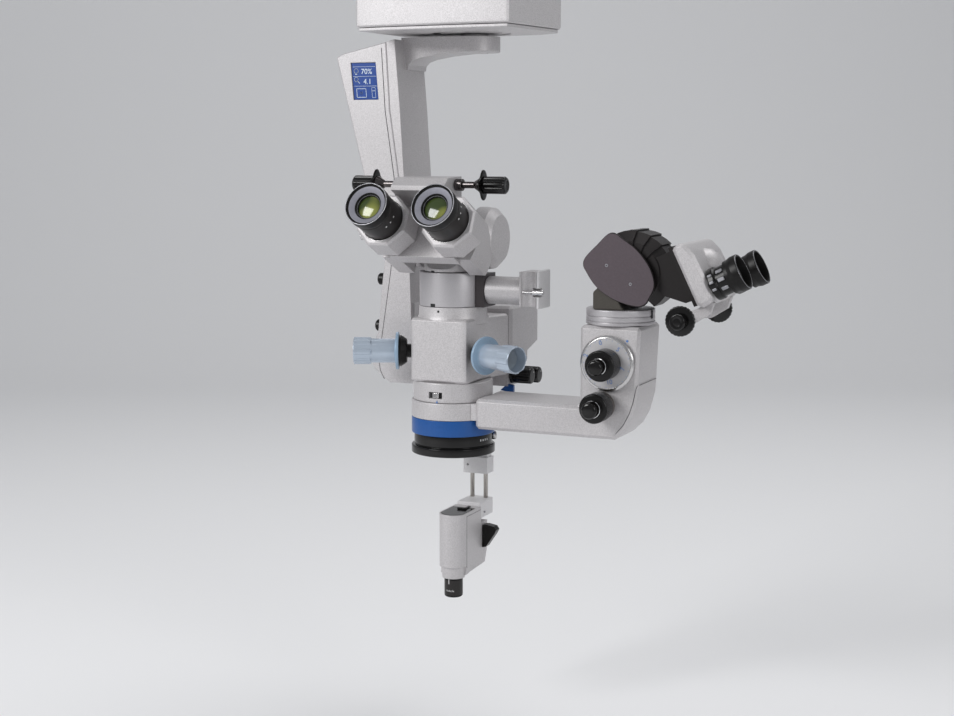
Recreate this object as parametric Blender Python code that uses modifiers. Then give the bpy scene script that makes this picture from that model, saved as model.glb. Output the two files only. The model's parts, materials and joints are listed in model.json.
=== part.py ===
"""Surgical microscope head hung from a stand: cross-slide coupling, carrier column with focus and tilt,
main body with handles, binocular tube, beam splitter with side port, co-observer arm with a folding
tube, and a viewing attachment under the objective. Metres, +Z up, front towards -Y, origin in the
centre of the top flange, with the main optical axis on X = Y = 0."""

import math

import bmesh
import bpy
from mathutils import Matrix, Vector

# fits
GAP = 0.0003
RUN = 0.00008

# cross-slide coupling
FLANGE_R = 0.034
FLANGE_H = 0.004
TOP_BORE_R = 0.012
TOP_BORE_DEPTH = 0.030
COUPLING_H = 0.1026
COUPLING_SCALE = 1.0
LIP_INSET = 0.003
LIP_H = 0.0028
CROSS_X = 0.046
CROSS_Y = 0.022
CROSS_TRAVEL = 0.010

# carrier arm and column
HUB_Y = 0.053
HUB_R = 0.026
PIN_R = 0.009
ARM_T = 0.0153
COLUMN_FRONT = 0.007
COLUMN_D = 0.063
COLUMN_H = 0.211
COVER_T = 0.0147
SCREEN_X = -0.118
SCREEN_W = 0.0287
SCREEN_H = 0.0374

# focus housing
FOCUS_H = 0.137
NECK_H = 0.060
TILT_Y = 0.028
TILT_DROP = 0.081
TILT_R = 0.008
CLAMP_R = 0.0062

# main body
BODY_W = 0.064
BODY_FRONT = 0.036
BODY_H = 0.063
COLLAR_H = 0.0117
REAR_LEN = 0.0737
REAR_H = 0.062
FILTER_X = 0.0380
RING_R = 0.040
RING_H = 0.0198
SLEEVE_R = 0.036
BORE_R = 0.030

# splitter and side port
SPLIT_R = 0.0336
SPLIT_H = 0.0345
PORT_R = 0.0138
PORT_LEN = 0.0380
PORT_BLOCK = 0.0168
PORT_PLATE = 0.0032

# handles
HANDLE_YAW = 23.5
HANDLE_Y = 0.021
HANDLE_DROP = 0.0343
GRIP_R = 0.009
CAP_LEN = 0.0455
CAP_R = 0.0124
CAP_FLANGE_R = 0.019

# binocular tube
BINO_PITCH = 26.0
HALF_PD = 0.0347
EYE_Y = 0.119
EYE_RISE = 0.0697
EYE_R = 0.0217
BARREL_R = 0.0208
BARREL_LEN = 0.040
CARRIER_R = 0.026
BASE_R = 0.0253
CHEEK_R = 0.031
PD_KNOB_R = 0.0083
PD_DISC_R = 0.0145

# co-observer arm
CO_RING_R = 0.042
CO_RING_H = 0.0172
BAR_W = 0.0605
BAR_H = 0.0303
BAR_X = 0.0375
BLOCK_X = 0.1775
BLOCK_W = 0.0605
BLOCK_H = 0.1085
DIAL_R = 0.0268
DIAL_KNOB_R = 0.0148
FOCUS_KNOB_R = 0.0142
TURRET_R = 0.033
TURRET_H = 0.0150

# folding tube
FOLD_OUT = 0.0185
FOLD_RISE = 0.0346
FOLD_R = 0.041
FOLD_W = 0.0275
SHELL_T = 0.0011
SHELL_STEP = 0.0015
CO_PITCH = 26.0
CO_HALF_PD = 0.033
CO_EYE_R = 0.0172

# objective and viewing attachment
BAND_H = 0.016
OBJ_H = 0.0204
OBJ_R = 0.0423
VIEW_BLOCK_Y = 0.0625
ROD_R = 0.0022
ROD_X = 0.00765
ROD_LEN = 0.040
VIEW_R = 0.0144
VIEW_H = 0.067
VIEW_LENS_R = 0.0094

# levels, from the mounting face down
Z_LIP = -COUPLING_H - 2 * GAP
Z_PLATE = Z_LIP - LIP_H
Z_ARM = Z_PLATE - 0.003
Z_SPLIT_COLUMN = Z_PLATE - 0.0057 - COLUMN_H
Z_TILT = Z_SPLIT_COLUMN - GAP - TILT_DROP
Z_BODY_TOP = Z_TILT + 0.0167
Z_BODY = Z_BODY_TOP - BODY_H
Z_SPLIT = Z_BODY_TOP + COLLAR_H
Z_SPLIT_TOP = Z_SPLIT + SPLIT_H
Z_CO = Z_BODY - RING_H - GAP
Z_BAND = Z_CO - CO_RING_H - GAP
Z_OBJ = Z_BAND - BAND_H - GAP
Z_OBJ_END = Z_OBJ - OBJ_H
Z_HANDLE = Z_BODY_TOP - HANDLE_DROP
EYE_Z = Z_SPLIT_TOP + EYE_RISE
TILT2_Y = 0.002
TILT2_Z = Z_SPLIT_TOP + 0.0328
PD_Y = -EYE_Y + 0.0655
Z_BAR = Z_CO + 0.0056
Z_BLOCK_TOP = Z_BAR - BAR_H + BLOCK_H
Z_TURRET = Z_BLOCK_TOP + GAP + TURRET_H
FOLD_X = BLOCK_X + FOLD_OUT
FOLD_Z = Z_TURRET + FOLD_RISE
BODY_HALF = BODY_W / 2
REAR_Y = 0.0465
COL = None


def collection(name, hidden=False):
    coll = bpy.data.collections.new(name)
    bpy.context.scene.collection.children.link(coll)
    coll.hide_render = hidden
    return coll


def paint(name, colour, metallic=0.0, rough=0.5):
    mat = bpy.data.materials.new(name)
    mat.use_nodes = True
    shader = mat.node_tree.nodes["Principled BSDF"]
    shader.inputs["Base Color"].default_value = (*colour, 1)
    shader.inputs["Metallic"].default_value = metallic
    shader.inputs["Roughness"].default_value = rough
    return mat


SILVER = (0.62, 0.61, 0.63)
WHITE = (0.78, 0.78, 0.78)
BLACK = (0.02, 0.02, 0.02)
STEEL = (0.55, 0.55, 0.56)
FINISH = {
    "silver": (SILVER, 0.3, 0.45), "white": (WHITE, 0.0, 0.4), "black": (BLACK, 0.0, 0.45),
    "steel": (STEEL, 1.0, 0.25), "satin": ((0.6, 0.59, 0.6), 0.8, 0.35),
    "blue": ((0.02, 0.12, 0.5), 0.0, 0.4), "cap": ((0.45, 0.58, 0.75), 0.0, 0.3),
    "screen": ((0.03, 0.1, 0.45), 0.0, 0.2), "glass": ((0.3, 0.35, 0.2), 0.0, 0.05),
    "violet": ((0.09, 0.08, 0.09), 0.0, 0.5), "grey": ((0.3, 0.3, 0.32), 0.5, 0.4),
}


def link(obj, name, finish, hidden=False):
    target = CUTTERS if hidden else COL
    target.objects.link(obj)
    if hidden:
        obj.hide_render = True
        obj.display_type = "WIRE"
    else:
        obj.data.materials.append(paint(name + "_finish", *FINISH[finish]))
    return obj


def raw(name, verts, faces, finish="steel", hidden=False, at=(0, 0, 0), turn=None):
    mesh = bpy.data.meshes.new(name)
    mesh.from_pydata([tuple(v) for v in verts], [], faces)
    bm = bmesh.new()
    bm.from_mesh(mesh)
    bmesh.ops.recalc_face_normals(bm, faces=bm.faces)
    bm.to_mesh(mesh)
    bm.free()
    obj = bpy.data.objects.new(name, mesh)
    obj.matrix_world = Matrix.Translation(at) @ (turn or Matrix())
    return link(obj, name, finish, hidden)


def prism(name, pts, axis, a, b, finish="steel", hidden=False, at=(0, 0, 0), turn=None):
    """A flat outline swept from a to b along an axis; the outline is (y, z), (x, z) or (x, y)."""
    def place(p, t):
        u, v = p
        return {"X": (t, u, v), "Y": (u, t, v), "Z": (u, v, t)}[axis]
    o = Vector(at)
    inv = (turn or Matrix()).inverted()
    n = len(pts)
    verts = [inv @ (Vector(place(p, a)) - o) for p in pts] + [inv @ (Vector(place(p, b)) - o) for p in pts]
    faces = [tuple(range(n)), tuple(range(2 * n - 1, n - 1, -1))]
    faces += [(i, (i + 1) % n, n + (i + 1) % n, n + i) for i in range(n)]
    return raw(name, verts, faces, finish, hidden, at, turn)


def local_prism(name, pts, axis, a, b, finish, at, turn, hidden=False):
    """As prism, with the outline given in the piece's own turned frame."""
    def place(p, t):
        u, v = p
        return {"X": (t, u, v), "Y": (u, t, v), "Z": (u, v, t)}[axis]
    n = len(pts)
    verts = [place(p, a) for p in pts] + [place(p, b) for p in pts]
    faces = [tuple(range(n)), tuple(range(2 * n - 1, n - 1, -1))]
    faces += [(i, (i + 1) % n, n + (i + 1) % n, n + i) for i in range(n)]
    return raw(name, verts, faces, finish, hidden, at, turn)


def box(name, lo, hi, finish="steel", hidden=False, at=None):
    at = at or tuple((a + b) / 2 for a, b in zip(lo, hi))
    pts = [(lo[0], lo[1]), (hi[0], lo[1]), (hi[0], hi[1]), (lo[0], hi[1])]
    return prism(name, pts, "Z", lo[2], hi[2], finish, hidden, at)


def towards(direction):
    """Turns a piece's own +Z to a direction."""
    return Vector(direction).normalized().to_track_quat("Z", "Y").to_matrix().to_4x4()


def lathe(name, profile, at, direction=(0, 0, 1), finish="steel", steps=24, hidden=False, closed=False):
    """A turned piece: radius and height pairs down its outer side, closed on the axis or as a ring.
    A cutter is turned half a facet, so that its edges don't fall on those of the piece it meets."""
    mesh = bpy.data.meshes.new(name)
    n = len(profile)
    edges = [(i, i + 1) for i in range(n - 1)] + ([(n - 1, 0)] if closed else [])
    mesh.from_pydata([(r, 0, h) for r, h in profile], edges, [])
    obj = bpy.data.objects.new(name, mesh)
    spin = math.pi / steps if hidden else 0.0
    obj.matrix_world = Matrix.Translation(at) @ towards(direction) @ Matrix.Rotation(spin, 4, "Z")
    link(obj, name, finish, hidden)
    mod = obj.modifiers.new("turn", "SCREW")
    mod.steps = mod.render_steps = steps
    mod.use_merge_vertices = True
    mod.merge_threshold = 0.00001
    return obj


def rod(name, r, a, b, at, direction, finish="steel", steps=24, hidden=False):
    return lathe(name, [(0, b), (r, b), (r, a), (0, a)], at, direction, finish, steps, hidden)


def ring(name, outer, inner, top, bottom, at, direction=(0, 0, 1), finish="steel", steps=36, hidden=False):
    pts = [(outer, top), (outer, bottom), (inner, bottom), (inner, top)]
    return lathe(name, pts, at, direction, finish, steps, hidden, closed=True)


def boolean(obj, tool, operation):
    mod = obj.modifiers.new(tool.name, "BOOLEAN")
    mod.operation = operation
    mod.solver = "EXACT"
    mod.object = tool
    return obj


def cut(obj, *tools):
    for tool in tools:
        boolean(obj, tool, "DIFFERENCE")
    return obj


def join(obj, *tools):
    for tool in tools:
        boolean(obj, tool, "UNION")
    return obj


def soften(obj, width, segments=1, angle=35):
    mod = obj.modifiers.new("edge", "BEVEL")
    mod.width = width
    mod.segments = segments
    mod.limit_method = "ANGLE"
    mod.angle_limit = math.radians(angle)
    return obj


def inset(pts, amount):
    """A convex outline moved inwards by an amount."""
    cx = sum(p[0] for p in pts) / len(pts)
    cy = sum(p[1] for p in pts) / len(pts)
    out = []
    for x, y in pts:
        d = math.hypot(x - cx, y - cy)
        out.append((x - (x - cx) / d * amount, y - (y - cy) / d * amount))
    return out


def arc(cx, cy, r, a0, a1, n):
    return [(cx + r * math.cos(math.radians(a0 + (a1 - a0) * i / n)),
             cy + r * math.sin(math.radians(a0 + (a1 - a0) * i / n))) for i in range(n + 1)]


def coupling_outline():
    pts = [(-0.087, -0.038), (-0.057, -0.042), (0.038, -0.0435), (0.077, -0.041), (0.089, 0.064),
           (0.084, 0.075), (0.062, 0.088), (0.012, 0.095), (-0.060, 0.090), (-0.086, 0.066)]
    return [(x * COUPLING_SCALE, y * COUPLING_SCALE) for x, y in pts]


def coupling():
    rail = 0.004
    low = -COUPLING_H + 0.0046
    reach = CROSS_Y + CROSS_TRAVEL + 0.001
    side = CROSS_X + rail + 0.0002
    housing = prism("coupling_housing", coupling_outline(), "Z", -COUPLING_H, -FLANGE_H, "silver")
    soften(housing, 0.0015)
    disc = [(0, 0), (FLANGE_R, 0), (FLANGE_R, -FLANGE_H - 0.002), (0, -FLANGE_H - 0.002)]
    join(housing, lathe("flange_tool", disc, (0, 0, 0), steps=36, hidden=True))
    cut(housing,
        rod("bore_tool", TOP_BORE_R, -TOP_BORE_DEPTH, 0.001, (0, 0, 0), (0, 0, 1), hidden=True, steps=72),
        box("pocket_tool", (-CROSS_X - GAP, HUB_Y - reach, -COUPLING_H - 0.001),
            (CROSS_X + GAP, HUB_Y + reach, low + 0.0265), hidden=True),
        box("groove_tool", (-side, HUB_Y - reach + 0.0005, low + 0.0098),
            (side, HUB_Y + reach - 0.0005, low + 0.0162), hidden=True))

    slide = box("cross_slide", (-CROSS_X, HUB_Y - CROSS_Y, low), (CROSS_X, HUB_Y + CROSS_Y, low + 0.026),
                "grey", at=(0, HUB_Y, low + 0.013))
    join(slide, box("tongue_tool", (-CROSS_X - rail, HUB_Y - CROSS_Y + 0.0004, low + 0.010),
                    (CROSS_X + rail, HUB_Y + CROSS_Y - 0.0004, low + 0.016), hidden=True))
    cut(slide,
        box("neck_slot_tool", (-0.08, HUB_Y - 0.012, low - 0.001), (0.08, HUB_Y + 0.012, low + 0.0063), hidden=True),
        box("tee_slot_tool", (-0.081, HUB_Y - 0.018, low + 0.0060), (0.081, HUB_Y + 0.018, low + 0.0126),
            hidden=True))

    plate = prism("cross_plate", inset(coupling_outline(), LIP_INSET), "Z", Z_PLATE, Z_LIP, "silver",
                  at=(0, HUB_Y, Z_PLATE))
    cut(plate, ring("recess_tool", 0.040, 0.031, 0.0012, -0.001, (0, HUB_Y - 0.008, Z_PLATE), hidden=True))
    join(plate,
         box("stem_tool", (-0.014, HUB_Y - 0.0118, Z_PLATE + 0.0014), (0.014, HUB_Y + 0.0118, low + 0.0072),
             hidden=True),
         box("head_tool", (-0.020, HUB_Y - 0.0178, low + 0.0064), (0.020, HUB_Y + 0.0178, low + 0.0122),
             hidden=True),
         rod("hub_pin_tool", PIN_R, -0.0150, 0.001, (0, HUB_Y, Z_PLATE), (0, 0, 1), hidden=True, steps=32))


def column_side():
    """Outline of the column seen from the front, from its top edge clockwise."""
    t = Z_PLATE
    k = COLUMN_H / 0.211
    return [(-0.1345, t - 0.0225), (-0.126, t - 0.0185), (-0.0677, t - 0.0057), (-0.062, t - 0.0057 - 0.0706 * k),
            (-0.058, t - 0.0057 - 0.137 * k), (-0.0526, Z_SPLIT_COLUMN), (-0.0816, Z_SPLIT_COLUMN),
            (-0.1035, t - 0.0057 - 0.138 * k)]


def cover_edge():
    """The right edge of the front cover, top to bottom."""
    t = Z_PLATE
    k = COLUMN_H / 0.211
    return [(-0.0771, t - 0.0080), (-0.0733, t - 0.0057 - 0.0705 * k), (-0.0638, t - 0.0057 - 0.137 * k),
            (-0.058, Z_SPLIT_COLUMN)]


def cover_side():
    left = column_side()
    return [left[7], left[0], left[1]] + cover_edge() + [left[6]]


def cover_pocket():
    edge = [Vector(p) for p in cover_edge()]
    top = edge[0] + (edge[0] - edge[1]) * 0.3
    low = edge[3] + (edge[3] - edge[2]) * 0.3
    right = [(p.x + GAP * 1.1, p.y) for p in [top] + edge[1:3] + [low]]
    return right + [(-0.2, low.y), (-0.2, top.y)]


def support_arm():
    y0, y1 = COLUMN_FRONT, COLUMN_FRONT + COLUMN_D
    arm = prism("support_arm", column_side(), "Y", y0, y1, "silver", at=(0, HUB_Y, Z_PLATE))
    low = Z_ARM - ARM_T
    beam = [(-0.070, Z_ARM), (0, Z_ARM), (0, low), (-0.030, low - 0.0023), (-0.050, low - 0.0057),
            (-0.0580, low - 0.0082), (-0.0620, low - 0.0120), (-0.0630, low - 0.0170), (-0.070, low - 0.0170)]
    join(arm, prism("beam_tool", beam, "Y", HUB_Y - HUB_R, y1 - 0.001, hidden=True),
         lathe("hub_tool", [(0, Z_ARM), (HUB_R, Z_ARM), (HUB_R, low + 0.001), (HUB_R - 0.001, low), (0, low)],
               (0, HUB_Y, 0), steps=36, hidden=True),
         rod("boss_tool", 0.014, Z_ARM - 0.001, Z_PLATE - GAP, (0, HUB_Y, 0), (0, 0, 1), hidden=True, steps=32))
    cut(arm,
        rod("hub_bore_tool", PIN_R + RUN, Z_PLATE - 0.0153, Z_PLATE + 0.001, (0, HUB_Y, 0), (0, 0, 1),
            hidden=True, steps=32),
        prism("cover_pocket_tool", cover_pocket(), "Y", y0 - 0.010, y0 + COVER_T, hidden=True),
        box("neck_pocket_tool", (-0.0762, y0 + 0.0178, Z_SPLIT_COLUMN - 0.002),
            (-0.0618, y0 + 0.0512, Z_SPLIT_COLUMN + NECK_H + 0.0008), hidden=True))

    cover = prism("column_cover", cover_side(), "Y", y0, y0 + COVER_T - GAP, "silver")
    top = Z_PLATE - 0.0280
    slope = 0.0831 * SCREEN_H
    win = [(SCREEN_X, top), (SCREEN_X + SCREEN_W, top), (SCREEN_X + SCREEN_W + slope, top - SCREEN_H),
           (SCREEN_X + slope, top - SCREEN_H)]
    soften(cover, 0.0012, 1)
    cut(cover, prism("window_tool", win, "Y", y0 - 0.002, y0 + 0.004, hidden=True))
    prism("screen", inset(win, GAP), "Y", y0 + 0.0012, y0 + 0.0037, "screen")


def focus_housing():
    y0, y1 = COLUMN_FRONT, COLUMN_FRONT + COLUMN_D
    z = Z_SPLIT_COLUMN - GAP
    k = FOCUS_H / 0.137
    side = [(-0.0816, z), (-0.0526, z), (-0.0512, z - 0.049 * k), (-0.0487, z - FOCUS_H),
            (-0.0752, z - FOCUS_H), (-0.0835, z - 0.1317 * k), (-0.0925, z - 0.1237 * k),
            (-0.0961, z - 0.1173 * k), (-0.0945, z - 0.1000 * k), (-0.0886, z - 0.085 * k),
            (-0.083, z - 0.0315 * k), (-0.0800, z - 0.009 * k)]
    body = prism("focus_housing", side, "Y", y0, y1, "silver", at=(-0.069, TILT_Y, z))
    join(body,
         box("neck_tool", (-0.076, y0 + 0.018, z - 0.001), (-0.062, y0 + 0.051, z + NECK_H), hidden=True),
         lathe("tilt_pin_tool",
               [(0, -0.0405), (TILT_R, -0.0405), (TILT_R, -0.0482), (TILT_R + 0.005, -0.0482),
                (TILT_R + 0.005, -0.060), (0, -0.060)], (0, TILT_Y, Z_TILT), (1, 0, 0), steps=32, hidden=True))
    x = -0.0815 - 0.0015
    for name, y, drop, out in (("focus_clamp", 0.0180, 0.0313, 0.0000), ("tilt_clamp", TILT_Y, TILT_DROP, -0.0085)):
        zc = z - drop * k
        cut(body, rod(name + "_seat_tool", 0.0028 + RUN, -0.006, 0.012, (x + out, y, zc), (1, 0, 0), hidden=True,
                      steps=16))
        lathe(name, [(0, 0.0095), (0.0028, 0.0095), (0.0028, -0.0022), (CLAMP_R, -0.0026), (CLAMP_R, -0.0080),
                     (CLAMP_R - 0.001, -0.0092), (0, -0.0092)],
              (x + out, y, zc), (1, 0, 0), "black", 16)


def body_outline():
    h, f, r = BODY_HALF, BODY_FRONT, 0.0065
    right = [(h - r, -f), (h - 0.3 * r, -f + 0.3 * r), (h, -f + r), (h, 0.004), (h + 0.0012, 0.020),
             (h + 0.0048, 0.034), (h + 0.0098, 0.0462)]
    left = [(-x * (1 if y < 0.010 else 0.90), y) for x, y in reversed(right)]
    left[0] = (-0.038, 0.0462)
    return right + left


def main_body():
    body = prism("main_body", body_outline(), "Z", Z_BODY, Z_BODY_TOP, "silver", at=(0, TILT_Y, Z_TILT))
    soften(body, 0.002, 1, 50)
    collar = [(0, Z_SPLIT - GAP), (SPLIT_R + 0.0004, Z_SPLIT - GAP), (SPLIT_R + 0.0008, Z_BODY_TOP + 0.003),
              (SPLIT_R + 0.0018, Z_BODY_TOP), (SPLIT_R + 0.0018, Z_BODY_TOP - 0.006), (0, Z_BODY_TOP - 0.006)]
    join(body, lathe("collar_tool", collar, (0, 0, 0), steps=36, hidden=True),
         rod("tilt_hub_tool", TILT_R + 0.006, -0.0479, -0.028, (0, TILT_Y, Z_TILT), (1, 0, 0), hidden=True, steps=32))
    cut(body, rod("tilt_bore_tool", TILT_R + RUN, -0.050, -0.0400, (0, TILT_Y, Z_TILT), (1, 0, 0), hidden=True,
                  steps=32),
        rod("light_bore_tool", 0.024, Z_BODY - 0.001, Z_SPLIT + 0.001, (0, 0, 0), (0, 0, 1), hidden=True, steps=32))
    top = Z_BODY_TOP + 0.007
    low = top - REAR_H
    back = REAR_Y + REAR_LEN
    side = [(REAR_Y, low), (REAR_Y, top), (back, top - 0.001), (back, top - 0.044), (back - 0.028, top - 0.052),
            (back - 0.028, low)]
    rear = prism("rear_housing", side, "X", -0.038, 0.044, "silver")
    soften(rear, 0.003, 1, 50)
    filter_unit(low)


def filter_unit(low):
    y0, y1 = REAR_Y + 0.006, REAR_Y + 0.0460
    block = box("filter_block", (-0.020, y0, low - 0.0215), (FILTER_X, y1, low - GAP), "silver")
    for name, y, drop in (("filter_knob_front", y0 + 0.0100, 0.0105), ("filter_knob_rear", y1 - 0.0100, 0.0120)):
        cut(block, rod(name + "_seat_tool", 0.003 + RUN, -0.008, 0.002, (FILTER_X, y, low - drop), (1, 0, 0),
                       hidden=True, steps=16))
        fluted_knob(name, (FILTER_X, y, low - drop), (1, 0, 0), 0.0085, 0.0230, 0.0094, 0.003)


def fluted_knob(name, at, direction, r, length, disc_r, stem):
    profile = [(0, length), (r - 0.001, length), (r, length - 0.001), (r, 0.0032), (disc_r, 0.0028),
               (disc_r, 0.0003), (stem, 0.0003), (stem, -0.0070), (0, -0.0070)]
    return lathe(name, profile, at, direction, "black", 24)


def lower_rings():
    top = Z_BODY - GAP
    sleeve_end = Z_OBJ - OBJ_H + 0.0083
    base = lathe("lower_ring",
                 [(BORE_R, top), (RING_R, top), (RING_R, Z_CO + GAP), (SLEEVE_R, Z_CO + GAP),
                  (SLEEVE_R, sleeve_end), (BORE_R, sleeve_end)],
                 (0, 0, 0), finish="silver", steps=36, closed=True)
    zc = top - 0.0121
    cut(base, box("catch_recess_tool", (-0.0082, -0.050, zc - 0.0032), (0.0058, -RING_R + 0.0030, zc + 0.0032),
                  hidden=True))
    latch = box("catch_slider", (-0.0040, -RING_R + 0.0003, zc - 0.0029), (0.0025, -RING_R + 0.0027, zc + 0.0029),
                "steel", at=(-0.00075, -RING_R + 0.0015, zc))
    soften(latch, 0.0004)
    ring("blue_band", CO_RING_R, SLEEVE_R + GAP, Z_BAND, Z_BAND - BAND_H, (0, 0, 0), finish="blue")
    z = Z_OBJ
    lathe("objective_ring",
          [(SLEEVE_R + GAP, z), (OBJ_R - 0.0028, z), (OBJ_R - 0.0028, z - 0.0120), (OBJ_R, z - 0.0126),
           (OBJ_R, Z_OBJ_END + 0.0006), (OBJ_R - 0.0006, Z_OBJ_END), (BORE_R, Z_OBJ_END),
           (BORE_R, sleeve_end - GAP), (SLEEVE_R + GAP, sleeve_end - GAP)],
          (0, 0, 0), finish="black", steps=36, closed=True)
    lathe("objective_lens",
          [(0, sleeve_end + 0.0070), (BORE_R - 0.006, sleeve_end + 0.0062), (BORE_R - GAP, sleeve_end + 0.0050),
           (BORE_R - GAP, sleeve_end + 0.0004), (0, sleeve_end + 0.0004)], (0, 0, 0), finish="glass", steps=36)


def splitter():
    body = lathe("beam_splitter", [(0.024, Z_SPLIT_TOP - GAP), (SPLIT_R, Z_SPLIT_TOP - GAP), (SPLIT_R, Z_SPLIT),
                                   (0.024, Z_SPLIT)], (0, 0, 0), finish="satin", steps=36, closed=True)
    zc = Z_SPLIT + 0.0163
    cut(body, box("splitter_notch_tool", (-0.0095, -0.040, Z_SPLIT - 0.001), (-0.0040, -SPLIT_R + 0.0025,
                                                                              Z_SPLIT + 0.0034), hidden=True))
    dove = box("port_dovetail", (SPLIT_R - 0.008, -0.0145, zc - 0.0165), (SPLIT_R + 0.0064, 0.0145, zc + 0.0165),
               "violet")
    cut(dove, rod("splitter_clear_tool", SPLIT_R + GAP, -1, 1, (0, 0, 0), (0, 0, 1), hidden=True, steps=36))
    x = SPLIT_R + 0.0067
    tube = rod("port_tube", PORT_R, x, x + PORT_LEN, (0, 0, zc), (1, 0, 0), "satin", 36)
    x += PORT_LEN
    join(tube, box("port_block_tool", (x - 0.0005, -0.0140, zc - 0.0145), (x + PORT_BLOCK, 0.0160, zc + 0.0200),
                   hidden=True))
    end = x + PORT_BLOCK
    cut(tube, box("port_head_tool", (end - 0.0050, -0.020, zc - 0.0042), (end + 0.003, -0.0050, zc + 0.0042),
                  hidden=True),
        rod("port_scoop_tool", 0.0075, -0.05, 0.05, (end - 0.0085, -0.0150, zc), (0, 0, 1), hidden=True),
        rod("port_stem_tool", 0.0012 + RUN, -0.014, 0.004, (end - 0.0120, -0.0110, zc), (1, 0, 0), hidden=True,
            steps=16))
    x2 = end + GAP
    plate = box("port_plate", (x2, -0.0140, zc - 0.0160), (x2 + PORT_PLATE, 0.0160, zc + 0.0215), "white")
    soften(plate, 0.0008)
    cut(plate, box("port_slot_tool", (x2 - 0.002, -0.020, zc - 0.0042), (x2 + 0.010, -0.0060, zc + 0.0042),
                   hidden=True))
    lathe("port_screw", [(0, 0.0150), (0.0026, 0.0150), (0.0032, 0.0143), (0.0032, 0.0045), (0.0012, 0.0041),
                         (0.0012, -0.0110), (0, -0.0110)], (end - 0.0080, -0.0110, zc), (1, 0, 0), "steel", 20)


def handles():
    a = math.radians(HANDLE_YAW)
    for side, s in (("left", -1), ("right", 1)):
        at = (s * (BODY_HALF + GAP), -HANDLE_Y, Z_HANDLE)
        d = (s * math.cos(a), -math.sin(a), 0)
        k = CAP_LEN
        base = 0.0158
        grip = lathe("grip_" + side,
                     [(0, base + k * 0.70), (GRIP_R - 0.001, base + k * 0.70), (GRIP_R, base + k * 0.68),
                      (GRIP_R, base), (0.0158, base), (0.0158, base - 0.002), (0.0118, 0.0082), (0.0070, 0.0082),
                      (0.0070, -0.006), (0, -0.006)], at, d, "black", 24)
        cut(grip, prism("body_clear_%s_tool" % side, offset_body(), "Z", Z_BODY - 0.01, Z_BODY_TOP + 0.01,
                        hidden=True))
        t = base + GAP
        inner = GRIP_R + 0.0004
        wall = base + k * 0.71
        lathe("cap_" + side,
              [(0, wall + 0.0016), (CAP_R - 0.0014, wall + 0.0016), (CAP_R - 0.0010, t + k), (CAP_R + 0.0012, t + k),
               (CAP_R + 0.0012, t + k * 0.62), (CAP_R, t + k * 0.60), (CAP_R, t + 0.0030), (CAP_FLANGE_R, t + 0.0030),
               (CAP_FLANGE_R, t), (inner, t), (inner, wall), (0, wall)], at, d, "cap", 24)


def offset_body():
    return [(x + math.copysign(GAP, x), y + math.copysign(GAP, y)) for x, y in body_outline()]


def pitch(angle):
    """The frame of an eyepiece axis that looks towards -Y and up: local +Z runs out of the eyecup."""
    a = math.radians(angle)
    return towards((0, -math.cos(a), math.sin(a)))


def along(t, x=0.0):
    """A point on the left or right eyepiece axis, t behind the eyecup rim."""
    a = math.radians(BINO_PITCH)
    return (x, -EYE_Y + t * math.cos(a), EYE_Z - t * math.sin(a))


def eight_sided(r, flat=0.0):
    k = math.tan(math.pi / 8)
    return [(-r * k - flat, r), (r * k + flat, r), (r, r * k), (r, -r * k), (r * k + flat, -r), (-r * k - flat, -r),
            (-r, -r * k), (-r, r * k)]


def binocular_base():
    drum = lathe("binocular_base",
                 [(0, TILT2_Z), (BASE_R, TILT2_Z), (BASE_R, Z_SPLIT_TOP + 0.0004), (0, Z_SPLIT_TOP + 0.0004)],
                 (0, -0.008, 0), finish="silver", steps=36)
    slope = [(-0.060, TILT2_Z + 0.01), (-0.060, Z_SPLIT_TOP - 0.0030), (-0.0305, Z_SPLIT_TOP + 0.0040),
             (-0.0170, TILT2_Z - 0.0130), (-0.014, TILT2_Z + 0.01)]
    cut(drum, prism("slope_tool", slope, "X", -0.05, 0.05, hidden=True))
    join(drum, rod("trunnion_tool", 0.0185, -0.0300, 0.0300, (0, TILT2_Y, TILT2_Z), (1, 0, 0), hidden=True, steps=36),
         rod("spigot_tool", 0.0236, -0.004, 0.001, (0, -0.0, Z_SPLIT_TOP), (0, 0, 1), hidden=True, steps=36))
    cut(drum, rod("axle_bore_tool", 0.006 + RUN, -0.05, 0.05, (0, TILT2_Y, TILT2_Z), (1, 0, 0), hidden=True))


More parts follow.
